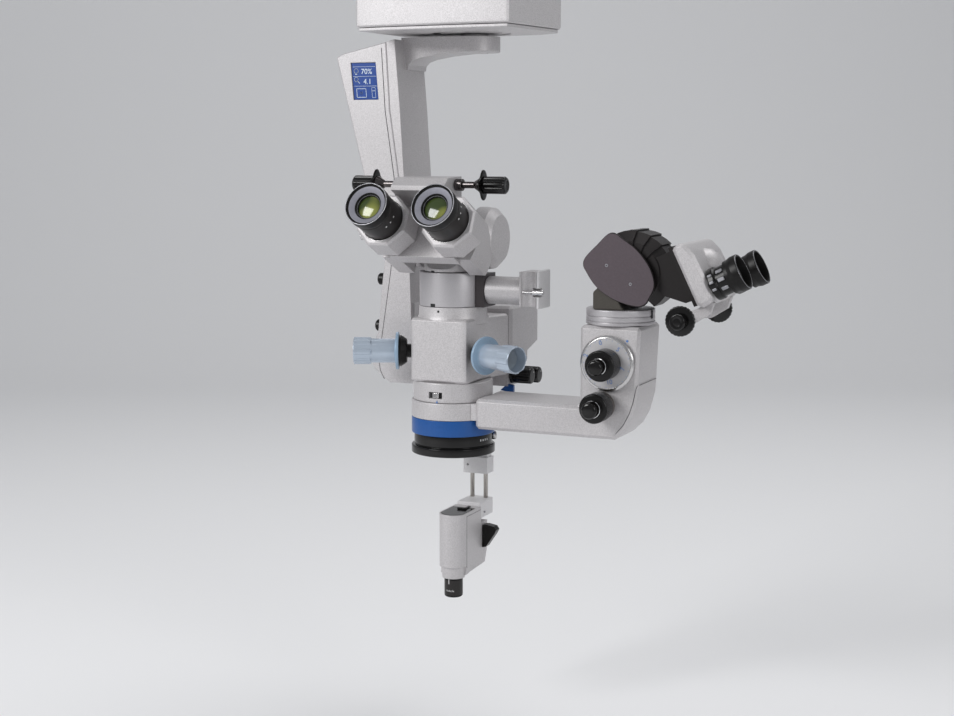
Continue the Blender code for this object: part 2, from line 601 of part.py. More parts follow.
def tilt_housing():
    turn = pitch(BINO_PITCH)
    back = along(BARREL_LEN + 0.0253)
    plate = local_prism("tilt_housing", eight_sided(0.0260, 0.0240), "Z", -0.0160, 0, "silver", back, turn)
    cheeks = []
    for s in (-1, 1):
        cheek = lathe("cheek_%s_tool" % ("left" if s < 0 else "right"),
                      [(0, 0.0210), (CHEEK_R - 0.008, 0.0210), (CHEEK_R - 0.001, 0.0140), (CHEEK_R, 0.0060),
                       (CHEEK_R, 0.0), (0, 0.0)],
                      (s * 0.0303, TILT2_Y, TILT2_Z), (s, 0, 0), steps=32, hidden=True)
        cheeks.append(cheek)
        web = [(s * 0.0304, -0.0235), (s * 0.0470, -0.0235), (s * 0.0500, -0.0120), (s * 0.0500, 0.0120),
               (s * 0.0470, 0.0235), (s * 0.0304, 0.0235)]
        cheeks.append(local_prism("yoke%+d_tool" % s, web, "Z", -0.0500, -0.0100, "silver", back, turn, True))
    join(plate, *cheeks)
    clear = 0.0193
    cut(plate, rod("trunnion_clear_tool", clear, -0.0303, 0.0303, (0, TILT2_Y, TILT2_Z), (1, 0, 0), hidden=True,
                   steps=36))
    join(plate, rod("axle_tool", 0.006, -0.040, 0.040, (0, TILT2_Y, TILT2_Z), (1, 0, 0), hidden=True, steps=24))
    top = EYE_Z + 0.0246
    pts = [(-0.0400, top), (-0.0700, top - 0.001), (-0.0800, top - 0.0085), (-0.0802, top - 0.0128),
           (-0.0485, top - 0.0282), (-0.0400, top - 0.0372)]
    bridge = prism("bridge_tool", pts, "X", -0.028, 0.028, hidden=True)
    join(plate, bridge)
    cut(plate, rod("pd_bore_tool", 0.0032 + RUN, -0.05, 0.05, (0, PD_Y, EYE_Z + 0.0168), (1, 0, 0), hidden=True))


def eyepieces():
    turn = pitch(BINO_PITCH)
    d = (turn @ Vector((0, 0, 1))).to_3d()
    for side, s in (("left", -1), ("right", 1)):
        x = s * HALF_PD
        front = along(BARREL_LEN, x)
        carrier = local_prism("tube_" + side, eight_sided(CARRIER_R), "Z", -0.0250, 0.0030, "silver", front, turn)
        soften(carrier, 0.002, 1, 50)
        cut(carrier, rod("tube_%s_mouth_tool" % side, BARREL_R + 0.0012, -0.0040, 0.01, front, d, hidden=True,
                         steps=32),
            rod("tube_%s_bore_tool" % side, BARREL_R - 0.0046, -0.0400, 0.001, front, d, hidden=True, steps=32))
        top = BARREL_LEN
        ring_r = EYE_R
        lathe("eyepiece_" + side,
              [(BARREL_R, top - 0.0095), (BARREL_R, 0.0022), (BARREL_R - 0.0008, 0.0016), (BARREL_R - 0.0008, -0.0036),
               (BARREL_R - 0.0050, -0.0036), (BARREL_R - 0.0050, -0.0220), (BARREL_R - 0.0080, -0.0220),
               (BARREL_R - 0.0080, top - 0.0095)],
              front, d, "black", 24, closed=True)
        lathe("eyecup_" + side,
              [(ring_r, top), (ring_r, top - 0.0092), (0.0124, top - 0.0092), (0.0124, top - 0.0050),
               (0.0175, top - 0.0022), (ring_r - 0.0018, top - 0.0018), (ring_r - 0.0014, top)],
              front, d, "black", 24, closed=True)
    lobes_and_shaft()


def lobed(name, r, lobe, thick, at, direction, lobes=6, hidden=True):
    pts = []
    for i in range(lobes * 4):
        a = 2 * math.pi * i / (lobes * 4)
        pts.append(((r + lobe * math.cos(lobes * a)) * math.cos(a), (r + lobe * math.cos(lobes * a)) * math.sin(a)))
    return local_prism(name, pts, "Z", 0, thick, "black", at, towards(direction), hidden)


def lobes_and_shaft():
    at = (0, PD_Y, EYE_Z + 0.0168)
    r = PD_KNOB_R
    half = [(0, 0.0812), (r - 0.0012, 0.0812), (r, 0.0800), (r, 0.0590), (0.0080, 0.0550), (0.0032, 0.0480),
            (0.0032, 0.0360), (0.0058, 0.0360), (0.0058, 0.0283), (0.0032, 0.0283)]
    profile = half + [(x, -z) for x, z in reversed(half)]
    shaft = lathe("pd_shaft", profile, at, (1, 0, 0), "black", 16)
    for s in (-1, 1):
        join(shaft, lobed("pd_disc%+d_tool" % s, PD_DISC_R - 0.0012, 0.0012, 0.0022,
                          (at[0] + s * 0.0560, at[1], at[2]), (s, 0, 0)))


def co_arm():
    ring("co_ring", CO_RING_R, SLEEVE_R + GAP, Z_CO, Z_BAND + GAP, (0, 0, 0), finish="silver")
    low = Z_BAR - BAR_H
    x0, x1 = BLOCK_X - BLOCK_W / 2, BLOCK_X + BLOCK_W / 2
    h = Z_BLOCK_TOP
    side = [(BAR_X, Z_BAR), (x0, Z_BAR), (x0, h), (x1, h), (x1 - 0.003, h - 0.0665), (x1 - 0.0080, h - 0.0860),
            (x1 - 0.0150, h - 0.0990), (x1 - 0.0250, low), (BAR_X, low)]
    half = BAR_W / 2
    arm = prism("co_arm", side, "Y", -half, half, "silver", at=(0, 0, Z_CO))
    soften(arm, 0.003, 1, 50)
    join(arm, box("tongue_tool", (0.024, -0.0275, Z_BAND + 0.0006), (BAR_X + 0.003, 0.0275, Z_CO - 0.0004),
                  hidden=True))
    cut(arm, rod("ring_clear_tool", CO_RING_R + GAP, -1, 1, (0, 0, 0), (0, 0, 1), hidden=True, steps=36),
        rod("turret_bore_tool", 0.012 + RUN, -0.012, 0.01, (BLOCK_X, 0, h), (0, 0, 1), hidden=True, steps=32))
    co_dials(half, h)


def co_dials(half, h):
    zd = h - 0.0348
    xd = BLOCK_X - 0.0015
    face = lathe("co_dial",
                 [(0.0040, 0.0052), (DIAL_R - 0.0024, 0.0052), (DIAL_R, 0.0040), (DIAL_R, GAP), (0.0040, GAP)],
                 (xd, -half, zd), (0, -1, 0), "satin", 36, closed=True)
    face.name = "co_dial"
    r = DIAL_KNOB_R
    lathe("co_dial_knob",
          [(0, 0.0400), (0.0068, 0.0400), (0.0074, 0.0390), (0.0076, 0.0275), (r - 0.0015, 0.0260), (r, 0.0245),
           (r, 0.0057), (0.0040 - RUN, 0.0055), (0.0040 - RUN, GAP), (0, GAP)],
          (xd, -half, zd), (0, -1, 0), "black", 24)
    zk = h - 0.0747
    r = FOCUS_KNOB_R
    lathe("co_focus_knob",
          [(0, 0.0440), (0.0070, 0.0440), (0.0078, 0.0430), (0.0080, 0.0330), (r - 0.0015, 0.0310), (r, 0.0295),
           (r, 0.0130), (r - 0.0008, 0.0120), (r - 0.0008, 0.0062), (0.0105, 0.0058), (0.0105, GAP), (0, GAP)],
          (BLOCK_X - 0.0055, -half, zk), (0, -1, 0), "black", 24)


def turret():
    z = Z_BLOCK_TOP + GAP
    t = TURRET_H
    disc = lathe("co_turret",
                 [(0, z + t), (TURRET_R - 0.0006, z + t), (TURRET_R, z + t - 0.0006), (TURRET_R, z + 0.62 * t),
                  (TURRET_R - 0.0010, z + 0.58 * t), (TURRET_R - 0.0010, z + 0.52 * t), (TURRET_R, z + 0.48 * t),
                  (TURRET_R, z + 0.1 * t), (TURRET_R - 0.0015, z), (0.0118, z), (0.0118, z - 0.0105), (0, z - 0.0105)],
                 (BLOCK_X, 0, 0), finish="silver", steps=36)
    disc.name = "co_turret"


def fold_point(u, v):
    """A point in the plane of the fold, u out along the tube and v across it."""
    a = math.radians(CO_PITCH)
    return (FOLD_X + u * math.cos(a) - v * math.sin(a), FOLD_Z + u * math.sin(a) + v * math.cos(a))


def plate_outline():
    x, z = FOLD_X, FOLD_Z
    return [(x - 0.0463, z + 0.0115), (x - 0.0320, z + 0.0275), (x - 0.0184, z + 0.0392), (x - 0.0050, z + 0.0320),
            (x + 0.0081, z + 0.0225), (x + 0.0200, z + 0.0072), (x + 0.0248, z - 0.0083), (x + 0.0210, z - 0.0200),
            (x + 0.0123, z - 0.0304), (x - 0.0102, z - 0.0264), (x - 0.0301, z - 0.0156), (x - 0.0422, z - 0.0010)]


def fold_base():
    w = FOLD_W + 0.0003
    top = Z_TURRET + GAP
    z = FOLD_Z
    base = prism("fold_base", [(BLOCK_X - 0.018, top), (BLOCK_X + 0.012, top), (BLOCK_X + 0.006, z - 0.0240),
                               (FOLD_X - 0.0301, z - 0.0120), (BLOCK_X - 0.018, z - 0.0180)],
                 "Y", -w - 0.001, w + 0.001, "violet", at=(BLOCK_X, 0, Z_TURRET))
    left = [(FOLD_X - 0.0463, z + 0.0115), (FOLD_X - 0.0310, z + 0.0283), (FOLD_X - 0.0180, z + 0.0150),
            (FOLD_X - 0.0170, z - 0.0170), (FOLD_X - 0.0120, z - 0.0240), (FOLD_X - 0.0140, z - 0.0275),
            (FOLD_X - 0.0301, z - 0.0156), (FOLD_X - 0.0422, z - 0.0010)]
    join(base, prism("fold_back_tool", left, "Y", -w - 0.0008, w + 0.0008, hidden=True),
         prism("fold_cheek_front_tool", plate_outline(), "Y", -w - 0.0022, -w, hidden=True),
         prism("fold_cheek_rear_tool", plate_outline(), "Y", w, w + 0.0022, hidden=True),
         rod("fold_pin_tool", 0.0045, -w - 0.001, w + 0.001, (FOLD_X, 0, FOLD_Z), (0, 1, 0), hidden=True))


def shell(name, radius, half, a0, a1, steps, hidden=False, finish="violet", solid=False):
    """A fan segment: a U-shaped rim with side webs that run to the fold's pin."""
    c = 0.0095
    t = SHELL_T
    hub = 0.0045 + RUN
    outer = [(hub, -half), (radius - c, -half), (radius, -half + c), (radius, half - c), (radius - c, half),
             (hub, half)]
    k = t * 0.42
    inner = [(hub, half - t), (radius - c - k, half - t), (radius - t, half - c - k), (radius - t, -half + c + k),
             (radius - c - k, -half + t), (hub, -half + t)]
    profile = outer if solid else outer + inner
    n = len(profile)
    verts, faces = [], []
    for i in range(steps + 1):
        a = math.radians(a0 + (a1 - a0) * i / steps)
        verts += [(r * math.cos(a), y, r * math.sin(a)) for r, y in profile]
    for i in range(steps):
        for j in range(n):
            k0, k1 = i * n + j, i * n + (j + 1) % n
            faces.append((k0, k1, k1 + n, k0 + n))
    faces.append(tuple(range(n)))
    faces.append(tuple(range((steps + 1) * n - 1, steps * n - 1, -1)))
    return raw(name, verts, faces, finish, hidden, (FOLD_X, 0, FOLD_Z))


def fold_segments():
    spans = ((86, 121), (66, 104), (46, 84))
    r, w = FOLD_R, FOLD_W
    for i, (a0, a1) in enumerate(spans):
        shell("fold_segment_%d" % (i + 1), r, w, a0, a1, 4)
        r -= SHELL_STEP
        w -= SHELL_STEP
    head = shell("fold_head", r, w, -58, 64, 10, solid=True)
    pts = [fold_point(0.018, 0.004), fold_point(0.0480, 0.004), fold_point(0.0480, -0.0460),
           fold_point(0.0360, -0.0460), fold_point(0.018, -0.030)]
    join(head, prism("fold_nose_tool", pts, "Y", -0.0220, 0.0220, hidden=True))
    oval = [fold_point(0.0475, 0.0060), fold_point(0.0515, 0.0060), fold_point(0.0515, -0.0530),
            fold_point(0.0475, -0.0530)]
    join(head, prism("fold_plate_tool", oval, "Y", -0.0400, 0.0400, hidden=True))


def co_direction():
    a = math.radians(CO_PITCH)
    return (math.cos(a), 0, math.sin(a))


def co_binocular():
    d = co_direction()
    pts = [fold_point(0.0518, 0.0020), fold_point(0.0560, 0.0060), fold_point(0.0640, 0.0040),
           fold_point(0.0690, -0.0100), fold_point(0.0700, -0.0480), fold_point(0.0660, -0.0560),
           fold_point(0.0560, -0.0570), fold_point(0.0518, -0.0530)]
    body = prism("co_housing", pts, "Y", -0.0460, 0.0460, "silver", at=(FOLD_X, 0, FOLD_Z))
    soften(body, 0.003, 1, 50)
    x, z = fold_point(0.0580, -0.0230)
    dome = lathe("dome_tool", [(0, 0.0200), (0.0080, 0.0190), (0.0140, 0.0152), (0.0180, 0.0088), (0.0190, 0.0),
                               (0.0190, -0.004), (0, -0.004)], (x, 0, z), d, steps=32, hidden=True)
    join(body, dome)
    v = -0.0420
    for s in (-1, 1):
        x, z = fold_point(0.0700, v)
        slot = arc(0.004, 0, 0.0065 + GAP, -90, 90, 8) + arc(-0.004, 0, 0.0065 + GAP, 90, 270, 8)
        cut(body, local_prism("slot%+d_tool" % s, slot, "Z", -0.0110, 0.01, "steel", (x, s * CO_HALF_PD, z),
                              towards(d), True))
    for side, s in (("left", -1), ("right", 1)):
        x, z = fold_point(0.0703, v)
        lathe("co_tube_" + side,
              [(0, 0.0110), (0.0090, 0.0110), (0.0090, 0.0190), (0.0135, 0.0190), (0.0140, 0.0180),
               (0.0140, 0.0075), (0.0155, 0.0070), (0.0155, 0.0010), (0.0150, GAP), (0.0062, GAP),
               (0.0062, -0.0100), (0, -0.0100)], (x, s * CO_HALF_PD, z), d, "black", 24)
        r = CO_EYE_R
        lathe("co_eyecup_" + side,
              [(0.0148, 0.0315), (r, 0.0310), (r, 0.0240), (0.0160, 0.0200), (0.0160, 0.0172), (0.0141 + RUN, 0.0172),
               (0.0141 + RUN, 0.0193), (0.0120, 0.0200), (0.0120, 0.0225), (0.0148, 0.0240)],
              (x, s * CO_HALF_PD, z), d, "black", 24, closed=True)


def co_pd():
    u, v = 0.0373, -0.0604
    x, z = fold_point(u, v)
    at = (x, 0, z)
    half = [(0, 0.0740), (0.0068, 0.0740), (0.0074, 0.0730), (0.0074, 0.0660), (0.0139, 0.0650), (0.0139, 0.0610),
            (0.0060, 0.0590), (0.0035, 0.0590)]
    lathe("co_pd_shaft", half + [(r, -h) for r, h in reversed(half)], at, (0, 1, 0), "steel", 24)
    body = bpy.data.objects["co_housing"]
    lug = [fold_point(0.0620, -0.0540), fold_point(0.0540, -0.0545), fold_point(0.0500, -0.0555),
           fold_point(u + 0.0010, v + 0.0060), fold_point(u - 0.0055, v + 0.0030), fold_point(u - 0.0055, v - 0.0040),
           fold_point(u, v - 0.0065), fold_point(0.0560, -0.0650), fold_point(0.0640, -0.0570)]
    for s in (-1, 1):
        join(body, prism("lug%+d_tool" % s, lug, "Y", s * 0.0300 - 0.0035, s * 0.0300 + 0.0035, hidden=True))
    cut(body, rod("co_pd_bore_tool", 0.0035 + RUN, -0.05, 0.05, at, (0, 1, 0), hidden=True, steps=24))


def viewer():
    y = VIEW_BLOCK_Y
    top = Z_OBJ_END - GAP
    hinge_z = top - 0.0105
    mount = box("viewer_bracket", (-0.0085, 0.0390, top - 0.0045), (0.0085, y + 0.004, top), "steel",
                at=(0, y, hinge_z))
    join(mount, box("viewer_lug_tool", (-0.0040, y - 0.0040, hinge_z - 0.0040), (0.0040, y + 0.0040, top - 0.002),
                    hidden=True),
         rod("viewer_pin_tool", 0.0022, -0.0125, 0.0125, (0, y, hinge_z), (1, 0, 0), hidden=True, steps=20))
    zb = hinge_z - 0.0105
    block = box("viewer_block", (-0.0135, y - 0.0085, zb - 0.0125), (0.0135, y + 0.0085, zb + 0.0045), "white",
                at=(0, y, hinge_z))
    ears = [box("ear%+d_tool" % s, (min(s * 0.0046, s * 0.0125), y - 0.0050, zb), (max(s * 0.0046, s * 0.0125),
                                                                                  y + 0.0050, hinge_z + 0.0030),
                hidden=True) for s in (-1, 1)]
    join(block, *ears)
    cut(block, rod("viewer_hinge_bore_tool", 0.0022 + RUN, -0.02, 0.02, (0, y, hinge_z), (1, 0, 0), hidden=True,
                   steps=20))
    z_rod = zb - 0.0120
    for s in (-1, 1):
        join(block, rod("rod%+d_tool" % s, ROD_R, z_rod - ROD_LEN, z_rod, (s * ROD_X, y + 0.0015, 0), (0, 0, 1),
                        hidden=True, steps=20))
    return zb - 0.0125


def viewer_body(block_low):
    y = VIEW_BLOCK_Y + 0.0015
    z1 = block_low - 0.0275
    carrier = box("viewer_carrier", (-0.0132, 0.0370, z1 - 0.0170), (0.0132, y + 0.0065, z1), "white",
                  at=(0, y, z1))
    soften(carrier, 0.0008)
    for s in (-1, 1):
        cut(carrier, rod("rod_bore%+d_tool" % s, ROD_R + RUN, z1 - 0.02, z1 + 0.01, (s * ROD_X, y, 0), (0, 0, 1),
                         hidden=True, steps=20))
    top = z1 - 0.0035
    low = top - VIEW_H
    r = VIEW_R
    front = [(r * math.sin(math.radians(a)), -r * math.cos(math.radians(a))) for a in range(-90, 91, 15)]
    plan = front + [(r, 0.0366), (-r, 0.0366)]
    body = prism("viewer_body", plan, "Z", low + 0.012, top, "silver", at=(0, 0, low))
    flank = [(0.0, low + 0.0030), (0.0095, low + 0.0042), (0.0470, low + 0.0060), (0.0535, low + 0.0220),
             (0.0535, top - 0.0173), (0.0, top - 0.0173)]
    join(body, prism("viewer_flank_tool", flank, "X", -r + 0.0003, r - 0.0003, hidden=True),
         lathe("viewer_cone_tool", [(0, low + 0.0280), (r - 0.0004, low + 0.0260), (r - 0.0028, low), (0, low)], (0, 0, 0),
               steps=24, hidden=True))
    cut(body, lathe("viewer_mouth_tool", [(0, top + 0.01), (r - 0.0016, top + 0.01), (r - 0.0016, top - 0.008),
                                          (0, top - 0.008)], (0, 0, 0), steps=24, hidden=True),
        rod("viewer_lens_bore_tool", VIEW_LENS_R - 0.0009, low - 0.01, top + 0.01, (0, 0, 0), (0, 0, 1), hidden=True,
            steps=32),
        rod("rod_path_tool", ROD_R + 0.0004, low, top, (ROD_X, y, 0), (0, 0, 1), hidden=True, steps=12),
        rod("rod_path2_tool", ROD_R + 0.0004, low, top, (-ROD_X, y, 0), (0, 0, 1), hidden=True, steps=12),
        rod("view_knob_seat_tool", 0.0030 + RUN, -0.004, 0.01, (r, 0.0440, top - 0.0320), (1, 0, 0), hidden=True,
            steps=16))
    lathe("viewer_lens",
                 [(0.0062, low + 0.0200), (VIEW_LENS_R - 0.0009 - RUN, low + 0.0200),
                  (VIEW_LENS_R - 0.0009 - RUN, low - 0.0012), (VIEW_LENS_R, low - 0.0014), (VIEW_LENS_R, low - 0.0190),
                  (VIEW_LENS_R - 0.0010, low - 0.0200), (0.0062, low - 0.0200)], (0, 0, 0), finish="black", steps=32,
                 closed=True)
    x, z = r + GAP, top - 0.0320
    knob = rod("viewer_knob", 0.0030, -0.0035 - GAP, 0.0020, (x, 0.0440, z), (1, 0, 0), "black", 24)
    wedge = [(x, z - 0.0120), (x, z + 0.0120), (x + 0.0045, z + 0.0125), (x + 0.0130, z + 0.0110),
             (x + 0.0155, z + 0.0075), (x + 0.0140, z + 0.0040), (x + 0.0040, z - 0.0110)]
    join(knob, prism("viewer_wedge_tool", wedge, "Y", 0.0395, 0.0485, hidden=True))


def main():
    global COL, CUTTERS
    for obj in list(bpy.data.objects):
        bpy.data.objects.remove(obj, do_unlink=True)
    COL = collection("surgical_microscope")
    CUTTERS = collection("cutters", True)
    coupling()
    support_arm()
    focus_housing()
    main_body()
    lower_rings()
    splitter()
    handles()
    binocular_base()
    tilt_housing()
    eyepieces()
    co_arm()
    turret()
    fold_base()
    fold_segments()
    co_binocular()
    co_pd()
    viewer_body(viewer())


main()
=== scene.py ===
"""Looks of the surgical microscope head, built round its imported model."""
import json
import math

import bmesh
import bpy
from mathutils import Matrix, Vector


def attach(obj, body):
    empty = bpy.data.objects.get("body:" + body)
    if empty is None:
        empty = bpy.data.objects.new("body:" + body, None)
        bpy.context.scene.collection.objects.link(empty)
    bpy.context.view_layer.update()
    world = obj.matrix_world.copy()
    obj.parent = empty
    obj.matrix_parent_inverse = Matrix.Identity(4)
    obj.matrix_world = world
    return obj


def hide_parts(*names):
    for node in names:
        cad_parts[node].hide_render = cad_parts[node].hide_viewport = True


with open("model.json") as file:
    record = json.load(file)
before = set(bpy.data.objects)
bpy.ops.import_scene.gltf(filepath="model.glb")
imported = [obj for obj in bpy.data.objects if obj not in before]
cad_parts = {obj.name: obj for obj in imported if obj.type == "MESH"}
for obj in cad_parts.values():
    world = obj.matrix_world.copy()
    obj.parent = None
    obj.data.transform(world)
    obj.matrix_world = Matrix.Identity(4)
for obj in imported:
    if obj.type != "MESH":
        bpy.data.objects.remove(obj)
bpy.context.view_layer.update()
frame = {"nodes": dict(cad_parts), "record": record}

NODES = frame["nodes"]
BODY_OF = {}
for body_name, members in frame["record"]["behaviour"]["bodies"].items():
    for member in members:
        BODY_OF[member] = body_name


# Materials: every surface is a node material with a fine grain.


def principled(name, colour, rough=0.5, metallic=0.0, **sockets):
    """A material and its main shader; a socket is named with underscores for spaces."""
    mat = bpy.data.materials.new(name)
    mat.use_nodes = True
    bsdf = mat.node_tree.nodes["Principled BSDF"]
    bsdf.inputs["Base Color"].default_value = (*colour, 1)
    bsdf.inputs["Roughness"].default_value = rough
    bsdf.inputs["Metallic"].default_value = metallic
    for key, value in sockets.items():
        bsdf.inputs[key.replace("_", " ")].default_value = value
    return mat, bsdf


def node(mat, kind, **settings):
    """A shader node with its inputs or properties set."""
    made = mat.node_tree.nodes.new(kind)
    for key, value in settings.items():
        if key in made.inputs:
            made.inputs[key].default_value = value
        else:
            setattr(made, key, value)
    return made


def wire(mat, out, into):
    mat.node_tree.links.new(out, into)


def noise(mat, scale, detail=2.0):
    coords = node(mat, "ShaderNodeTexCoord")
    texture = node(mat, "ShaderNodeTexNoise", Scale=scale, Detail=detail)
    wire(mat, coords.outputs["Object"], texture.inputs["Vector"])
    return texture.outputs["Fac"]


def ramp(mat, fac, low, high, a, b):
    """Colour a below low, colour b above high, and a blend between."""
    made = node(mat, "ShaderNodeValToRGB")
    made.color_ramp.elements[0].position = low
    made.color_ramp.elements[1].position = high
    made.color_ramp.elements[0].color = (*a, 1)
    made.color_ramp.elements[1].color = (*b, 1)
    wire(mat, fac, made.inputs["Fac"])
    return made.outputs["Color"]


def spread(mat, fac, low, high):
    """A factor of 0 to 1 mapped onto low to high."""
    made = node(mat, "ShaderNodeMapRange")
    made.inputs["To Min"].default_value = low
    made.inputs["To Max"].default_value = high
    wire(mat, fac, made.inputs["Value"])
    return made.outputs["Result"]


def grain(mat, bsdf, fac, strength, distance, rounding=0.0):
    """A fine bump, on edges that shade as if rounded."""
    bump = node(mat, "ShaderNodeBump", Strength=strength, Distance=distance)
    wire(mat, fac, bump.inputs["Height"])
    if rounding:
        edge = node(mat, "ShaderNodeBevel", Radius=rounding)
        edge.samples = 4
        wire(mat, edge.outputs["Normal"], bump.inputs["Normal"])
    wire(mat, bump.outputs["Normal"], bsdf.inputs["Normal"])


def speckled(name, dark, light, rough=0.42, metallic=0.25, rounding=0.0009):
    """Silver paint with a speckle of darker grains."""
    mat, bsdf = principled(name, light, rough, metallic)
    fine = noise(mat, 1100, 2.0)
    wire(mat, ramp(mat, fine, 0.34, 0.66, dark, light), bsdf.inputs["Base Color"])
    wide = noise(mat, 22, 2.0)
    wire(mat, spread(mat, wide, rough - 0.06, rough + 0.06), bsdf.inputs["Roughness"])
    grain(mat, bsdf, fine, 0.12, 0.0002, rounding)
    return mat


def plain(name, colour, rough, metallic=0.0, scale=300, strength=0.08, tint=0.12, rounding=0.0004, **sockets):
    """Plastic, rubber or anodised metal with a faint grain and a little colour variation."""
    mat, bsdf = principled(name, colour, rough, metallic, **sockets)
    fine = noise(mat, scale, 2.0)
    dark = tuple(c * (1 - tint) for c in colour)
    light = tuple(min(1, c * (1 + tint)) for c in colour)
    wire(mat, ramp(mat, fine, 0.3, 0.7, dark, light), bsdf.inputs["Base Color"])
    wire(mat, spread(mat, noise(mat, 30, 2.0), rough - 0.05, rough + 0.05), bsdf.inputs["Roughness"])
    grain(mat, bsdf, fine, strength, 0.0002, rounding)
    return mat


def coated(name, dark, light):
    """Glass with a coating whose tint wanders from dark to light across the lens."""
    mat, bsdf = principled(name, light, 0.1, 0.0, Coat_Weight=0.4, Coat_Roughness=0.03)
    wire(mat, ramp(mat, noise(mat, 42, 0.0), 0.40, 0.62, dark, light), bsdf.inputs["Base Color"])
    wire(mat, spread(mat, noise(mat, 30, 1.0), 0.06, 0.14), bsdf.inputs["Roughness"])
    return mat


def polished(name):
    """Polished chrome with faint smears."""
    mat, bsdf = principled(name, (0.78, 0.78, 0.79), 0.12, 1.0)
    wire(mat, spread(mat, noise(mat, 90, 2.0), 0.08, 0.2), bsdf.inputs["Roughness"])
    wire(mat, ramp(mat, noise(mat, 140, 2.0), 0.3, 0.7, (0.70, 0.70, 0.71), (0.82, 0.82, 0.83)),
         bsdf.inputs["Base Color"])
    return mat


PAINT = speckled("silver_paint", (0.48, 0.465, 0.47), (0.60, 0.58, 0.59), 0.44, 0.35)
COUPLING_PAINT = speckled("coupling_paint", (0.50, 0.485, 0.49), (0.65, 0.63, 0.64), 0.46, 0.3, 0.0015)
SATIN = plain("satin_metal", (0.52, 0.505, 0.52), 0.38, 0.65, 900, 0.03, 0.04)
BRIGHT = plain("bright_steel", (0.62, 0.61, 0.61), 0.22, 1.0, 400, 0.03, 0.06)
GREY = plain("grey_anodised", (0.30, 0.30, 0.32), 0.45, 0.5)
BLACK = plain("black_anodised", (0.005, 0.0045, 0.0045), 0.3, 0.0, Specular_IOR_Level=0.25)
RUBBER = plain("black_rubber", (0.005, 0.0045, 0.0045), 0.38, 0.0, 500, 0.1, Specular_IOR_Level=0.25)
FACE = plain("grey_face_ring", (0.27, 0.27, 0.31), 0.45, 0.3, 500, 0.04, 0.05)
VIOLET = plain("dark_dovetail_coat", (0.030, 0.024, 0.026), 0.35, 0.0, 600, 0.05, Specular_IOR_Level=0.4)
NECK = plain("neck_coat", (0.060, 0.054, 0.046), 0.55, 0.0, 700, 0.1, 0.08, Specular_IOR_Level=0.3)
SHELL = plain("segment_coat", (0.017, 0.0145, 0.0145), 0.42, 0.0, 700, 0.08, 0.08, Specular_IOR_Level=0.25)
BLUE = plain("blue_gloss", (0.003, 0.075, 0.29), 0.3, 0.0, 400, 0.02, 0.04)
DISPLAY = plain("display_blue", (0.010, 0.055, 0.27), 0.3, 0.0, 400, 0.0, 0.05)
WHITE = plain("white_coat", (0.66, 0.65, 0.66), 0.42, 0.0, 900, 0.04, 0.04)
# Flat near-black painted as the shade inside holes, notches and recesses.
DARK = plain("painted_recess_shade", (0.01, 0.01, 0.011), 0.7)
DOT = plain("white_mark", (0.8, 0.8, 0.8), 0.5)
CAP = plain("cap_plastic", (0.46, 0.53, 0.62), 0.24, 0.4, 120, 0.02, 0.03, 0.0004)
TINTED = plain("dark_chrome", (0.11, 0.10, 0.10), 0.16, 1.0, 300, 0.02, 0.1)
CAP_EDGE = plain("cap_flange_plastic", (0.27, 0.38, 0.50), 0.25, 0.1, 120, 0.02, 0.03, 0.0004)
LENS = coated("coated_lens", (0.035, 0.055, 0.012), (0.25, 0.27, 0.06))
CO_LENS = coated("dark_lens", (0.010, 0.012, 0.014), (0.045, 0.050, 0.055))
DIAL = plain("dial_face", (0.52, 0.51, 0.52), 0.42, 0.4, 900, 0.03, 0.04)
ROD = plain("steel_rod", (0.36, 0.34, 0.32), 0.2, 1.0, 300, 0.01, 0.06)
BROWN = plain("brown_coat", (0.060, 0.050, 0.045), 0.4, 0.0, 500, 0.04, 0.08)
# A lighter grey for the black eyecups' rims: a painted highlight where the rim catches the light.
EDGE = plain("painted_rim_highlight", (0.34, 0.34, 0.36), 0.28, 0.6, 500, 0.04)
BARREL = plain("barrel_coat", (0.016, 0.0135, 0.013), 0.38, 0.0, 600, 0.08, Specular_IOR_Level=0.4)
CHROME = polished("chrome")
GLOSS = plain("black_gloss", (0.004, 0.0036, 0.0036), 0.14, 0.0, 300, 0.01, Specular_IOR_Level=0.38)
KNOB = plain("knob_coat", (0.004, 0.0036, 0.0036), 0.22, 0.0, 500, 0.03, Specular_IOR_Level=0.3)
PLATE = plain("side_plate_coat", (0.088, 0.070, 0.080), 0.5, 0.0, 700, 0.06, 0.06, Specular_IOR_Level=0.3)
CAP_DARK = plain("cap_lining", (0.22, 0.25, 0.28), 0.35, 0.2, 60, 0.0, 0.3)
FACE_DARK = plain("dark_face_ring", (0.04, 0.04, 0.043), 0.3)
SEAM = plain("seam_shadow", (0.045, 0.045, 0.05), 0.8)
GLOW = plain("display_light", (0.75, 0.84, 0.95), 0.4)
INK = plain("blue_ink", (0.10, 0.22, 0.52), 0.5)

